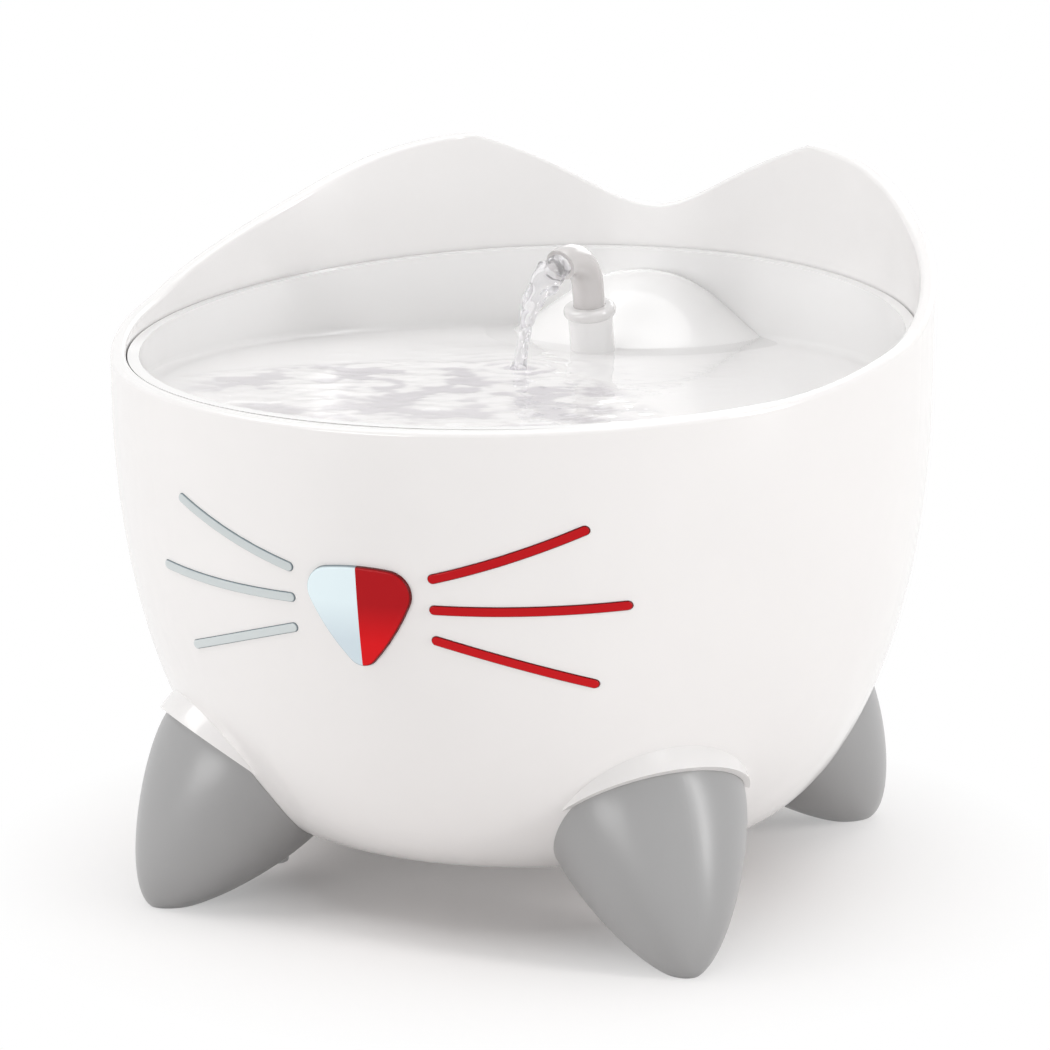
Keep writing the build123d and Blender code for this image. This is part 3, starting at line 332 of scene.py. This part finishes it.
def cap_edge_shade(tree, place):
    """Socket that is 0 on a cap's broad face and 1 where its edge turns away from it, to paint shade
    on the edge.
    """
    level_place = tree.nodes.new("ShaderNodeVectorMath")
    level_place.operation = "MULTIPLY"
    level_place.inputs[1].default_value = (1, 1, 0)
    tree.links.new(place, level_place.inputs[0])
    outward = tree.nodes.new("ShaderNodeVectorMath")
    outward.operation = "NORMALIZE"
    tree.links.new(level_place.outputs[0], outward.inputs[0])
    facing = tree.nodes.new("ShaderNodeVectorMath")
    facing.operation = "DOT_PRODUCT"
    tree.links.new(outward.outputs[0], facing.inputs[0])
    tree.links.new(tree.nodes.new("ShaderNodeTexCoord").outputs["Normal"], facing.inputs[1])
    return mapped(tree, facing.outputs["Value"], FACE_FACING, EDGE_FACING)


def lit_cap(name, pale, red, split, glow):
    """Lit cap, pale on its left and red on its right, each with a colour above and below split as
    painted light and shade, and with painted shade on its edges.
    """
    material, tree, shader, place = finish_base(name)
    parts = tree.nodes.new("ShaderNodeSeparateXYZ")
    tree.links.new(place, parts.inputs[0])
    right = maths(tree, "GREATER_THAN", parts.outputs["X"], 0.0)
    # the share below the split paints each half lighter or darker, as painted light and shade
    painted_shading_below = mapped(tree, parts.outputs["Z"], split + BLEND_ABOVE, split - BLEND_BELOW)
    # edges that turn away from the face are painted darker, as painted shade
    edge = cap_edge_shade(tree, place)
    pale_colour = mixed(tree, edge, mixed(tree, painted_shading_below, *pale), PALE_EDGE_SHADE)
    red_colour = mixed(tree, edge, mixed(tree, painted_shading_below, *red), RED_EDGE_SHADE)
    colour = mixed(tree, right, pale_colour, red_colour)
    tree.links.new(colour, shader.inputs["Base Color"])
    tree.links.new(colour, shader.inputs["Emission Color"])
    shader.inputs["Emission Strength"].default_value = glow
    tree.links.new(ramp(tree, noise(tree, place, 6.0), 0.16, 0.22), shader.inputs["Roughness"])
    shader.inputs["IOR"].default_value = 1.45
    shader.inputs["Specular IOR Level"].default_value = 0.14
    skin(tree, shader, noise(tree, place, 5.0), 0.04)
    return material


# each pair is a colour above the split and one below it; the difference is painted light and shade
PALE_NOSE = ((0.60, 0.69, 0.72), (0.49, 0.565, 0.61))
RED_NOSE = ((0.33, 0.004, 0.007), (0.54, 0.005, 0.008))
PALE_WHISKER = ((0.48, 0.515, 0.52), (0.51, 0.545, 0.55))
RED_WHISKER = ((0.37, 0.004, 0.007), (0.41, 0.005, 0.008))
NOSE_SPLIT, WHISKER_SPLIT = 91.0 * MM, 94.0 * MM
nose_cap = lit_cap("nose_cap", PALE_NOSE, RED_NOSE, NOSE_SPLIT, 0.33)
pale_cap = lit_cap("pale_cap", PALE_WHISKER, RED_WHISKER, WHISKER_SPLIT, 0.25)
red_cap = lit_cap("red_cap", PALE_WHISKER, RED_WHISKER, WHISKER_SPLIT, 0.35)
print("caps", nose_cap.name, pale_cap.name, red_cap.name)

# %% [markdown]
# ## Rubber, metal and the parts inside
# Lifting the tray off shows the pump, the filter and the leads, so they are finished as well.
# Metal wants a high metallic value and a brushed roughness, rubber wants a dull surface with a
# faint sheen, and the coil is hundreds of turns of wire, which a wave pattern draws as ridges,
# painted darker between the turns as painted shade.

# %% Rubber and metal


def rubber(name, colour, roughness=0.6):
    """Soft rubber or silicone with a fine dull skin."""
    material = moulded(name, colour, roughness, 0.6, 0.04, drift=0.1)
    material.node_tree.nodes["Principled BSDF"].inputs["Sheen Weight"].default_value = 0.15
    return material


def metal(name, colour, roughness, stretch):
    """Brushed or turned metal, its scratches drawn out along one axis."""
    material, tree, shader, place = finish_base(name)
    scratches = noise(tree, place, 1.2, 4.0, stretch)
    shader.inputs["Metallic"].default_value = 1.0
    darker = tuple(v * 0.85 for v in colour)
    tree.links.new(mixed(tree, scratches, darker, colour), shader.inputs["Base Color"])
    tree.links.new(ramp(tree, scratches, roughness * 0.8, roughness * 1.2),
                   shader.inputs["Roughness"])
    skin(tree, shader, scratches, 0.02)
    return material


seal_rubber = rubber("seal_rubber", (0.03, 0.03, 0.032))
cup_rubber = rubber("cup_rubber", (0.26, 0.27, 0.285), 0.5)
silicone_clear = rubber("silicone_clear", (0.70, 0.70, 0.69), 0.35)
lead_jacket = rubber("lead_jacket", (0.02, 0.02, 0.022), 0.5)
stainless = metal("stainless", (0.62, 0.62, 0.63), 0.28, (1, 1, 0.05))
core_steel = metal("core_steel", (0.36, 0.37, 0.39), 0.45, (1, 12, 1))
ferrite = moulded("ferrite", (0.045, 0.045, 0.05), 0.55, 0.6, 0.08, drift=0.2)
print("materials so far", len(bpy.data.materials))

# %% Wire and circuit board
RIDGES = 3.183           # ridges that a Wave texture of scale 1 draws in a metre


def wound(name, colour, pitch):
    """Coil of lacquered wire: ridges along X, pitch millimetres apart, painted darker between the
    turns as painted shade.
    """
    material, tree, shader, place = finish_base(name)
    turns = tree.nodes.new("ShaderNodeTexWave")
    turns.bands_direction = "X"
    turns.inputs["Scale"].default_value = 1.0 / (pitch * MM) / RIDGES
    turns.inputs["Distortion"].default_value = 0.4
    tree.links.new(place, turns.inputs["Vector"])
    shader.inputs["Metallic"].default_value = 1.0
    shader.inputs["Roughness"].default_value = 0.32
    # the darker copper between the turns is painted shade
    tree.links.new(mixed(tree, turns.outputs["Fac"], tuple(v * 0.45 for v in colour), colour),
                   shader.inputs["Base Color"])
    skin(tree, shader, turns.outputs["Fac"], 0.2, 0.8)
    return material


def board(name):
    """Green circuit board with lighter copper tracks, 1.4 mm apart, under its lacquer."""
    material, tree, shader, place = finish_base(name)
    tracks = tree.nodes.new("ShaderNodeTexBrick")
    tracks.inputs["Scale"].default_value = 120.0
    tracks.inputs["Brick Width"].default_value = 2.3
    tracks.inputs["Row Height"].default_value = 0.17
    tracks.inputs["Mortar Size"].default_value = 0.024
    tracks.inputs["Color1"].default_value = (0.02, 0.12, 0.05, 1)
    tracks.inputs["Color2"].default_value = (0.02, 0.15, 0.06, 1)
    tracks.inputs["Mortar"].default_value = (0.06, 0.30, 0.13, 1)
    turned = tree.nodes.new("ShaderNodeMapping")
    turned.inputs["Rotation"].default_value = (math.pi / 2, 0, 0)
    tree.links.new(place, turned.inputs["Vector"])
    tree.links.new(turned.outputs[0], tracks.inputs["Vector"])
    tree.links.new(tracks.outputs["Color"], shader.inputs["Base Color"])
    shader.inputs["Roughness"].default_value = 0.35
    skin(tree, shader, tracks.outputs["Fac"], 0.05)
    return material


coil_copper = wound("coil_copper", (0.80, 0.38, 0.18), 0.6)
board_green = board("board_green")
emitter_package = moulded("emitter_package", (0.85, 0.74, 0.30), 0.25, 0.8, 0.02, coat=0.5)
print("materials in all", len(bpy.data.materials))

# %% Dress the frame's parts
wearers = (
    (shell_white, ("shell",)),
    (tray_white, ("drinking_tray",)),
    (ring_plastic, ("spout_collar",)),
    (spout_plastic, ("spout_tube",)),
    (nose_cap, ("nose_lens",)),
    (pale_cap, ("whisker_lenses_left",)),
    (red_cap, ("whisker_lenses_right",)),
    (foot_grey, ("foot_front_left", "foot_front_right", "foot_back_left", "foot_back_right")),
    (stainless, ("foot_screws", "cover_screws", "level_probes", "rotor_shaft")),
    (seal_rubber, ("light_gasket", "cover_seal", "inlet_gasket")),
    (cover_plastic, ("light_cover", "pump_housing", "filter_frame")),
    (board_green, ("light_board",)),
    (emitter_package, ("light_emitters",)),
    (silicone_clear, ("riser_tube",)),
    (pump_plastic, ("pump_body", "motor_cap", "pump_cover")),
    (core_steel, ("stator_core",)),
    (coil_copper, ("stator_coil",)),
    (ferrite, ("rotor_magnet",)),
    (impeller_plastic, ("impeller",)),
    (bush_ceramic, ("shaft_bushes",)),
    (dial_plastic, ("flow_dial",)),
    (cup_rubber, ("suction_cups",)),
    (inlet_plastic, ("power_inlet", "inlet_nut")),
    (lead_jacket, ("pump_lead", "light_lead")),
)
bare = set(nodes)
for material, names in wearers:
    for name in names:
        for slot in nodes[name].material_slots:
            slot.material = material
        bare.remove(name)
print("dressed", len(nodes) - len(bare), "of", len(nodes), "left for soft pieces", sorted(bare))

# %% [markdown]
# ## Water in the basin
# The basin holds four millimetres of water. It could be a flat glass disc, but moving water is
# known by its ripples, so the top is a fine grid. The grid starts as a square, because a square
# divides evenly, and its points are then slid outward until its edge is a circle.

# %% Cover the basin with a grid
WATER_TOP = 133.0 * MM
WATER_BOTTOM = 128.6 * MM    # under the basin's floor, so that no air lies below the water
BASIN_RADIUS = 101.8 * MM
GRID_CUTS = 230


def select_only(piece):
    """Makes a piece the only thing selected."""
    bpy.ops.object.select_all(action="DESELECT")
    piece.select_set(True)
    bpy.context.view_layer.objects.active = piece


def start_piece(name):
    """Names the mesh just added and makes it the only thing selected."""
    piece = bpy.context.object
    select_only(piece)
    piece.name = name
    piece.data.name = name
    return piece


bpy.ops.object.select_all(action="DESELECT")
bpy.ops.mesh.primitive_grid_add(x_subdivisions=GRID_CUTS, y_subdivisions=GRID_CUTS, size=2.0,
                                location=(0, 0, 0))
water_pool = start_piece("water_pool")
for vertex in water_pool.data.vertices:
    across, along = vertex.co.x, vertex.co.y
    vertex.co = (across * math.sqrt(1 - along * along / 2) * BASIN_RADIUS,
                 along * math.sqrt(1 - across * across / 2) * BASIN_RADIUS, WATER_TOP)
print("grid", len(water_pool.data.vertices), "points")

# %% [markdown]
# The stream lands near the middle and stirs the water in front of it, in an island that ends
# short of the basin's wall. A vertex group holds how strongly each point is stirred.

# %% Mark the stirred water
LANDING = Vector((-7.3, 16.2)) * MM    # where the stream meets the water
ISLAND_MIDDLE = -19.0 * MM
ISLAND_REAR = 24.0 * MM      # the rear edge at the island's middle
REAR_BEND = 0.0102 / MM      # the edge comes forward by this times the square of the way to a side
REAR_SLANT = 0.12            # and by this share of the way to the right
REAR_FADE = 9.0 * MM
WALL_CALM, WALL_FADE = 0.93, 0.12    # shares of the basin's radius
RIGHT_END, RIGHT_FADE = 62.0 * MM, 22.0 * MM
SPLASH_REACH = 26.0 * MM


def clamped(value):
    """Value held between 0 and 1."""
    return min(1.0, max(0.0, value))


def from_landing(place):
    """Distance of a place from where the stream meets the water."""
    return math.hypot(place.x - LANDING.x, place.y - LANDING.y)


def ripple_share(place):
    """How strongly the water is stirred at a place, from 0 to 1."""
    rear = ISLAND_REAR - REAR_BEND * (place.x - ISLAND_MIDDLE) ** 2
    rear -= REAR_SLANT * max(0.0, place.x)
    island = clamped((rear - place.y) / REAR_FADE) * clamped((RIGHT_END - place.x) / RIGHT_FADE)
    wall = clamped((WALL_CALM - math.hypot(place.x, place.y) / BASIN_RADIUS) / WALL_FADE)
    near = math.exp(-from_landing(place) / SPLASH_REACH)
    return clamped(island * wall * (0.75 + 0.5 * near) + 0.6 * near)


stirred = water_pool.vertex_groups.new(name="stirred")
shares = [ripple_share(vertex.co) for vertex in water_pool.data.vertices]
for index, share in enumerate(shares):
    stirred.add([index], share, "REPLACE")
print("stirred", sum(share > 0.5 for share in shares), "points of", len(shares))

# %% [markdown]
# Two cloud patterns push the stirred surface up and down, and small rings run out from the
# landing place. Every point also remembers how deep in a trough it lies, because the troughs
# are painted greyer than the crests, as painted shade.

# %% Stir the water
RING_HEIGHT = 0.6 * MM
RING_TURN = 0.95 / MM        # a full wave takes 6.6 mm
RING_FADE = 7.0 * MM
SHADE_LEVEL = 0.45           # of still water, out of 1
SHADE_FALL = 7.2 / MM        # less shade for each metre above that


def clouds(name, size, depth):
    """Cloud pattern for a Displace modifier."""
    pattern = bpy.data.textures.new(name, "CLOUDS")
    pattern.noise_scale = size
    pattern.noise_depth = depth
    return pattern


def apply_all(piece):
    """Applies a piece's modifiers in their order."""
    bpy.context.view_layer.objects.active = piece
    for modifier in list(piece.modifiers):
        bpy.ops.object.modifier_apply(modifier=modifier.name)


for name, size, depth, strength in (("wide_ripples", 12.5 * MM, 2, 1.3 * MM),
                                    ("fine_ripples", 5.0 * MM, 1, 0.4 * MM)):
    push = water_pool.modifiers.new(name, "DISPLACE")
    push.texture = clouds(name, size, depth)
    push.direction = "Z"
    push.mid_level = 0.5
    push.strength = strength
    push.vertex_group = "stirred"
apply_all(water_pool)
shade = water_pool.data.attributes.new("shade", "FLOAT", "POINT")
for vertex, share in zip(water_pool.data.vertices, shares):
    away = from_landing(vertex.co)
    vertex.co.z += RING_HEIGHT * math.cos(RING_TURN * away) * math.exp(-away / RING_FADE)
    # troughs are painted greyer, as painted shade
    trough = clamped(SHADE_LEVEL - SHADE_FALL * (vertex.co.z - WATER_TOP))
    shade.data[vertex.index].value = share * trough
heights = [vertex.co.z for vertex in water_pool.data.vertices]
print("surface from", round(min(heights) / MM, 2), "to", round(max(heights) / MM, 2), "mm")

# %% [markdown]
# The grid is still a sheet. Its rim is drawn down, levelled and closed, so that light bends
# through a real body of water.

# %% Close the water's body
SKIRT = 3.0 * MM         # how far the rim goes down before it is levelled


def face_out_and_smooth(piece, crease):
    """Turns a closed piece's faces outward and smooths its edges up to a crease in degrees."""
    select_only(piece)
    bpy.ops.object.mode_set(mode="EDIT")
    bpy.ops.mesh.select_all(action="SELECT")
    bpy.ops.mesh.normals_make_consistent(inside=False)
    bpy.ops.object.mode_set(mode="OBJECT")
    bpy.ops.object.shade_smooth_by_angle(angle=math.radians(crease))


bpy.ops.object.mode_set(mode="EDIT")
bpy.ops.mesh.select_all(action="SELECT")
bpy.ops.mesh.region_to_loop()
bpy.ops.mesh.extrude_region_move(TRANSFORM_OT_translate={"value": (0, 0, -SKIRT)})
bpy.ops.mesh.edge_face_add()
bpy.ops.object.mode_set(mode="OBJECT")
for vertex in water_pool.data.vertices:
    if vertex.co.z < WATER_TOP - 0.9 * SKIRT:
        vertex.co.z = WATER_BOTTOM
face_out_and_smooth(water_pool, 60)
print("pool", len(water_pool.data.polygons), "faces")

# %% [markdown]
# Clear water has no colour of its own in so thin a layer. It is all refraction and reflection,
# with a very fine skin for the ripples too small to model. The pool is painted greyer in its
# troughs, as painted shade. The stream is full of small bubbles, which scatter light and make part
# of it plain white, and it is painted grey in random patches, as painted shade of its facets.

# %% Clear water


def painted_trough_shade(tree, place):
    """Socket that says how deep in a trough of the pool a point lies, where the pool is painted grey
    as painted shade.
    """
    trough = tree.nodes.new("ShaderNodeAttribute")
    trough.attribute_name = "shade"
    return trough.outputs["Fac"]


def painted_stream_shade(tree, place):
    """Socket of random lumps that says where the stream is painted grey, as painted shade of its
    facets.
    """
    return noise(tree, place, 3.0)


def clear_water(name, share_of, fine, bright, dull, clear):
    """Water that goes from bright to dull with a share, the dull colour being painted shade. What
    isn't clear in it is white.
    """
    material, tree, shader, place = finish_base(name)
    tree.links.new(mixed(tree, share_of(tree, place), bright, dull), shader.inputs["Base Color"])
    shader.inputs["Transmission Weight"].default_value = clear
    shader.inputs["IOR"].default_value = 1.333
    tree.links.new(ramp(tree, noise(tree, place, 10.0), 0.0, 0.03), shader.inputs["Roughness"])
    skin(tree, shader, noise(tree, place, fine, 3.0), 0.2, 0.25)
    return material


# the second colour of each water is painted shade: grey in the pool's troughs, and in random patches
# of the stream
still_water = clear_water("still_water", painted_trough_shade, 6.0, (0.985, 0.98, 0.98),
                          (0.50, 0.475, 0.52), 1.0)
stream_water = clear_water("stream_water", painted_stream_shade, 3.0, (0.97, 0.97, 0.97),
                           (0.72, 0.705, 0.73), 0.8)
water_pool.data.materials.append(still_water)
water_pool.visible_shadow = False
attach(water_pool, "tray")
print("water", still_water.name, stream_water.name)

# %% [markdown]
# ## The falling stream
# The pump pushes water up through the bent spout, and it leaves the mouth as a thick twisting
# rope that thins as it falls. Falling water follows a parabola, so its middle line is worked out
# from the mouth, the direction the mouth points in, and the landing place.

# %% Find the path of the water
MOUTH = Vector((-2.68, 35.68, 159.04)) * MM
STEEPNESS = 0.418        # how steeply the mouth points down
GRAVITY = 9.81
SWAY = -1.7 * MM         # how far the stream bows to the left on its way
FALL_DEPTH = MOUTH.z - WATER_TOP + 2.6 * MM    # it ends under the surface
reach = (MOUTH.xy - LANDING).length
fall_time = math.sqrt(2 * (MOUTH.z - WATER_TOP - STEEPNESS * reach) / GRAVITY)
speed = reach / fall_time
heading = (LANDING - MOUTH.xy).normalized()


def falling_point(time):
    """Place of the stream's middle at a time after it leaves the mouth, or before, inside it."""
    out = speed * time
    freely = max(time, 0.0)
    drop = STEEPNESS * out + GRAVITY * freely * freely / 2
    sway = SWAY * math.sin(math.pi * min(1.0, freely / fall_time))
    return Vector((MOUTH.x + heading.x * out + sway, MOUTH.y + heading.y * out, MOUTH.z - drop))


TICK = 0.0001
end_time = fall_time
while MOUTH.z - falling_point(end_time).z < FALL_DEPTH:
    end_time += TICK
print("water leaves at", round(speed, 3), "m/s and falls for", round(fall_time, 4), "s")

# %% [markdown]
# The water starts as a cylinder of many rings. Each ring is carried to its own place along the
# fall, turned a little further than the last, and pressed flatter or left rounder, which is what
# gives falling water its bright faceted edges.

# %% Cut a cylinder into rings
RINGS = 90
SIDES = 24
bpy.ops.object.select_all(action="DESELECT")
bpy.ops.mesh.primitive_cylinder_add(vertices=SIDES, radius=1.0, depth=1.0, location=(0, 0, 0))
falling_water = start_piece("falling_water")
bpy.ops.object.mode_set(mode="EDIT")
bpy.ops.mesh.select_mode(type="EDGE")
bpy.ops.mesh.select_all(action="DESELECT")
bpy.ops.object.mode_set(mode="OBJECT")
for edge in falling_water.data.edges:
    first_end, second_end = (falling_water.data.vertices[i].co.z for i in edge.vertices)
    edge.select = abs(first_end - second_end) > 0.5
bpy.ops.object.mode_set(mode="EDIT")
bpy.ops.mesh.subdivide_edgering(number_cuts=RINGS)
bpy.ops.mesh.select_mode(type="VERT")
bpy.ops.object.mode_set(mode="OBJECT")
print("stream rings", len({round(v.co.z, 4) for v in falling_water.data.vertices}))

# %% Pour the stream
TIME_INSIDE = 0.004      # the stream starts this long before it leaves the mouth
TIME_STEP = 0.0005
# half-widths across and along the fall in mm, from inside the mouth to under the surface
ACROSS = (3.25, 3.6, 4.1, 3.9, 3.1, 2.7, 2.3, 1.9, 1.7, 2.6)
ALONG = (3.25, 3.5, 3.2, 2.6, 2.2, 1.9, 1.7, 1.6, 1.6, 2.4)
LOOSE_AFTER = 0.2        # share of the way after which nothing of the mouth's shape is left
TWIST, WAVER = 2.4, 0.5  # turn of the rope in radians over its whole length, and its unevenness
THREE_LUMPS, FIVE_LUMPS = 0.16, 0.09    # heights of the lumps round the rope


def between(values, share):
    """Value on a smooth line through evenly spaced values, at a share from 0 to 1."""
    steps = len(values) - 1
    here = min(int(share * steps), steps - 1)
    t = share * steps - here
    before, start = values[max(here - 1, 0)], values[here]
    end, after = values[here + 1], values[min(here + 2, steps)]
    return 0.5 * (2 * start + (end - before) * t + (2 * before - 5 * start + 4 * end - after) * t * t
                  + (3 * start - before - 3 * end + after) * t * t * t)


for vertex in falling_water.data.vertices:
    share = clamped(0.5 - vertex.co.z)
    time = (end_time + TIME_INSIDE) * share - TIME_INSIDE
    centre = falling_point(time)
    onward = (falling_point(time + TIME_STEP) - falling_point(time - TIME_STEP)).normalized()
    level_way = Vector((onward.y, -onward.x, 0)).normalized()
    sideways = level_way.cross(onward)
    loose = clamped(share / LOOSE_AFTER)
    turn = (TWIST * share + WAVER * math.sin(9 * share)) * loose
    angle = math.atan2(vertex.co.y, vertex.co.x)
    lumps = 1 + loose * (THREE_LUMPS * math.sin(3 * angle + 14 * share)
                         + FIVE_LUMPS * math.sin(5 * angle - 23 * share))
    across = math.cos(angle) * between(ACROSS, share) * MM * lumps
    along = math.sin(angle) * between(ALONG, share) * MM * lumps
    vertex.co = (centre + level_way * (across * math.cos(turn) - along * math.sin(turn))
                 + sideways * (across * math.sin(turn) + along * math.cos(turn)))
smoother = falling_water.modifiers.new("smoother", "SUBSURF")
smoother.levels = smoother.render_levels = 1
apply_all(falling_water)
face_out_and_smooth(falling_water, 28)
falling_water.data.materials.append(stream_water)
falling_water.visible_shadow = False
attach(falling_water, "spout")
print("stream", len(falling_water.data.polygons), "faces")

# %% [markdown]
# ## Soft parts of the filter
# Two parts inside are soft: the fleece in the filter cartridge and the block of open foam in
# front of the motor. The fleece swells between the cartridge's bars, so it is a box divided
# finely and inflated towards its middle. The foam keeps its cut faces but has soft edges and
# open pores.

# %% Fill the cartridge
SOFT_CUTS = 24           # cuts of each face, after its edges are rounded
PUFFS = 8                # bulges across the width, one between each two bars


def soft_block(name, low, high, swell, rounding, body, material, node):
    """Padded block in the box from low to high, swollen on its two broad faces."""
    centre = (low + high) / 2
    size = high - low
    bpy.ops.object.select_all(action="DESELECT")
    bpy.ops.mesh.primitive_cube_add(size=1.0, location=centre)
    piece = start_piece(name)
    piece.scale = size
    bpy.ops.object.transform_apply(location=True, rotation=True, scale=True)
    edge_round = piece.modifiers.new("edges", "BEVEL")
    edge_round.width = rounding
    edge_round.segments = 4
    apply_all(piece)
    bpy.ops.object.mode_set(mode="EDIT")
    bpy.ops.mesh.select_all(action="SELECT")
    bpy.ops.mesh.subdivide(number_cuts=SOFT_CUTS)
    bpy.ops.object.mode_set(mode="OBJECT")
    for vertex in piece.data.vertices:
        x_share = (vertex.co.x - low.x) / size.x
        z_share = (vertex.co.z - low.z) / size.z
        puff = abs(math.sin(math.pi * x_share * PUFFS))
        puff *= math.sqrt(max(0.0, math.sin(math.pi * z_share)))
        vertex.co.y += math.copysign(swell * puff, vertex.co.y - centre.y)
    bpy.ops.object.shade_smooth_by_angle(angle=math.radians(60))
    piece.data.materials.append(material)
    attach(piece, body)
    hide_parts(node)
    print(name, len(piece.data.polygons), "faces")


def fleece(name):
    """Needled white fleece: short crossed fibres and a soft sheen."""
    material, tree, shader, place = finish_base(name)
    fibres = noise(tree, place, 0.8, 6.0, (1, 1, 0.35))
    tree.links.new(mixed(tree, fibres, (0.62, 0.62, 0.58), (0.86, 0.86, 0.83)),
                   shader.inputs["Base Color"])
    shader.inputs["Roughness"].default_value = 0.95
    shader.inputs["Sheen Weight"].default_value = 0.4
    skin(tree, shader, fibres, 0.4, 0.7)
    return material


def open_foam(name):
    """Black filter foam: round open pores about a millimetre across, painted darker in their middles
    as painted shade.
    """
    material, tree, shader, place = finish_base(name)
    pores = tree.nodes.new("ShaderNodeTexVoronoi")
    pores.inputs["Scale"].default_value = 1.0 / (1.25 * MM)
    tree.links.new(place, pores.inputs["Vector"])
    # the darker middles of the pores are painted shade
    tree.links.new(mixed(tree, pores.outputs["Distance"], (0.006, 0.006, 0.007),
                         (0.05, 0.05, 0.055)), shader.inputs["Base Color"])
    shader.inputs["Roughness"].default_value = 0.9
    skin(tree, shader, pores.outputs["Distance"], 0.6, 0.9)
    return material


low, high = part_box("filter_pad")
soft_block("filter_fleece", low, high, 0.5 * MM, 0.9 * MM, "filter", fleece("fleece"),
           "filter_pad")
low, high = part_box("foam_block")
soft_block("foam_sponge", low, high, 0.0, 0.8 * MM, "base", open_foam("open_foam"),
           "foam_block")

# %% [markdown]
# ## Sizes and the end
# The dressed fountain is meant to be no larger than the engineering model, so its size is printed at
# the end.

# %% Set the view and print the size
bpy.context.scene.view_settings.view_transform = "Standard"
low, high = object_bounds()
print("visual size in mm", [round(v / MM, 1) for v in high - low])
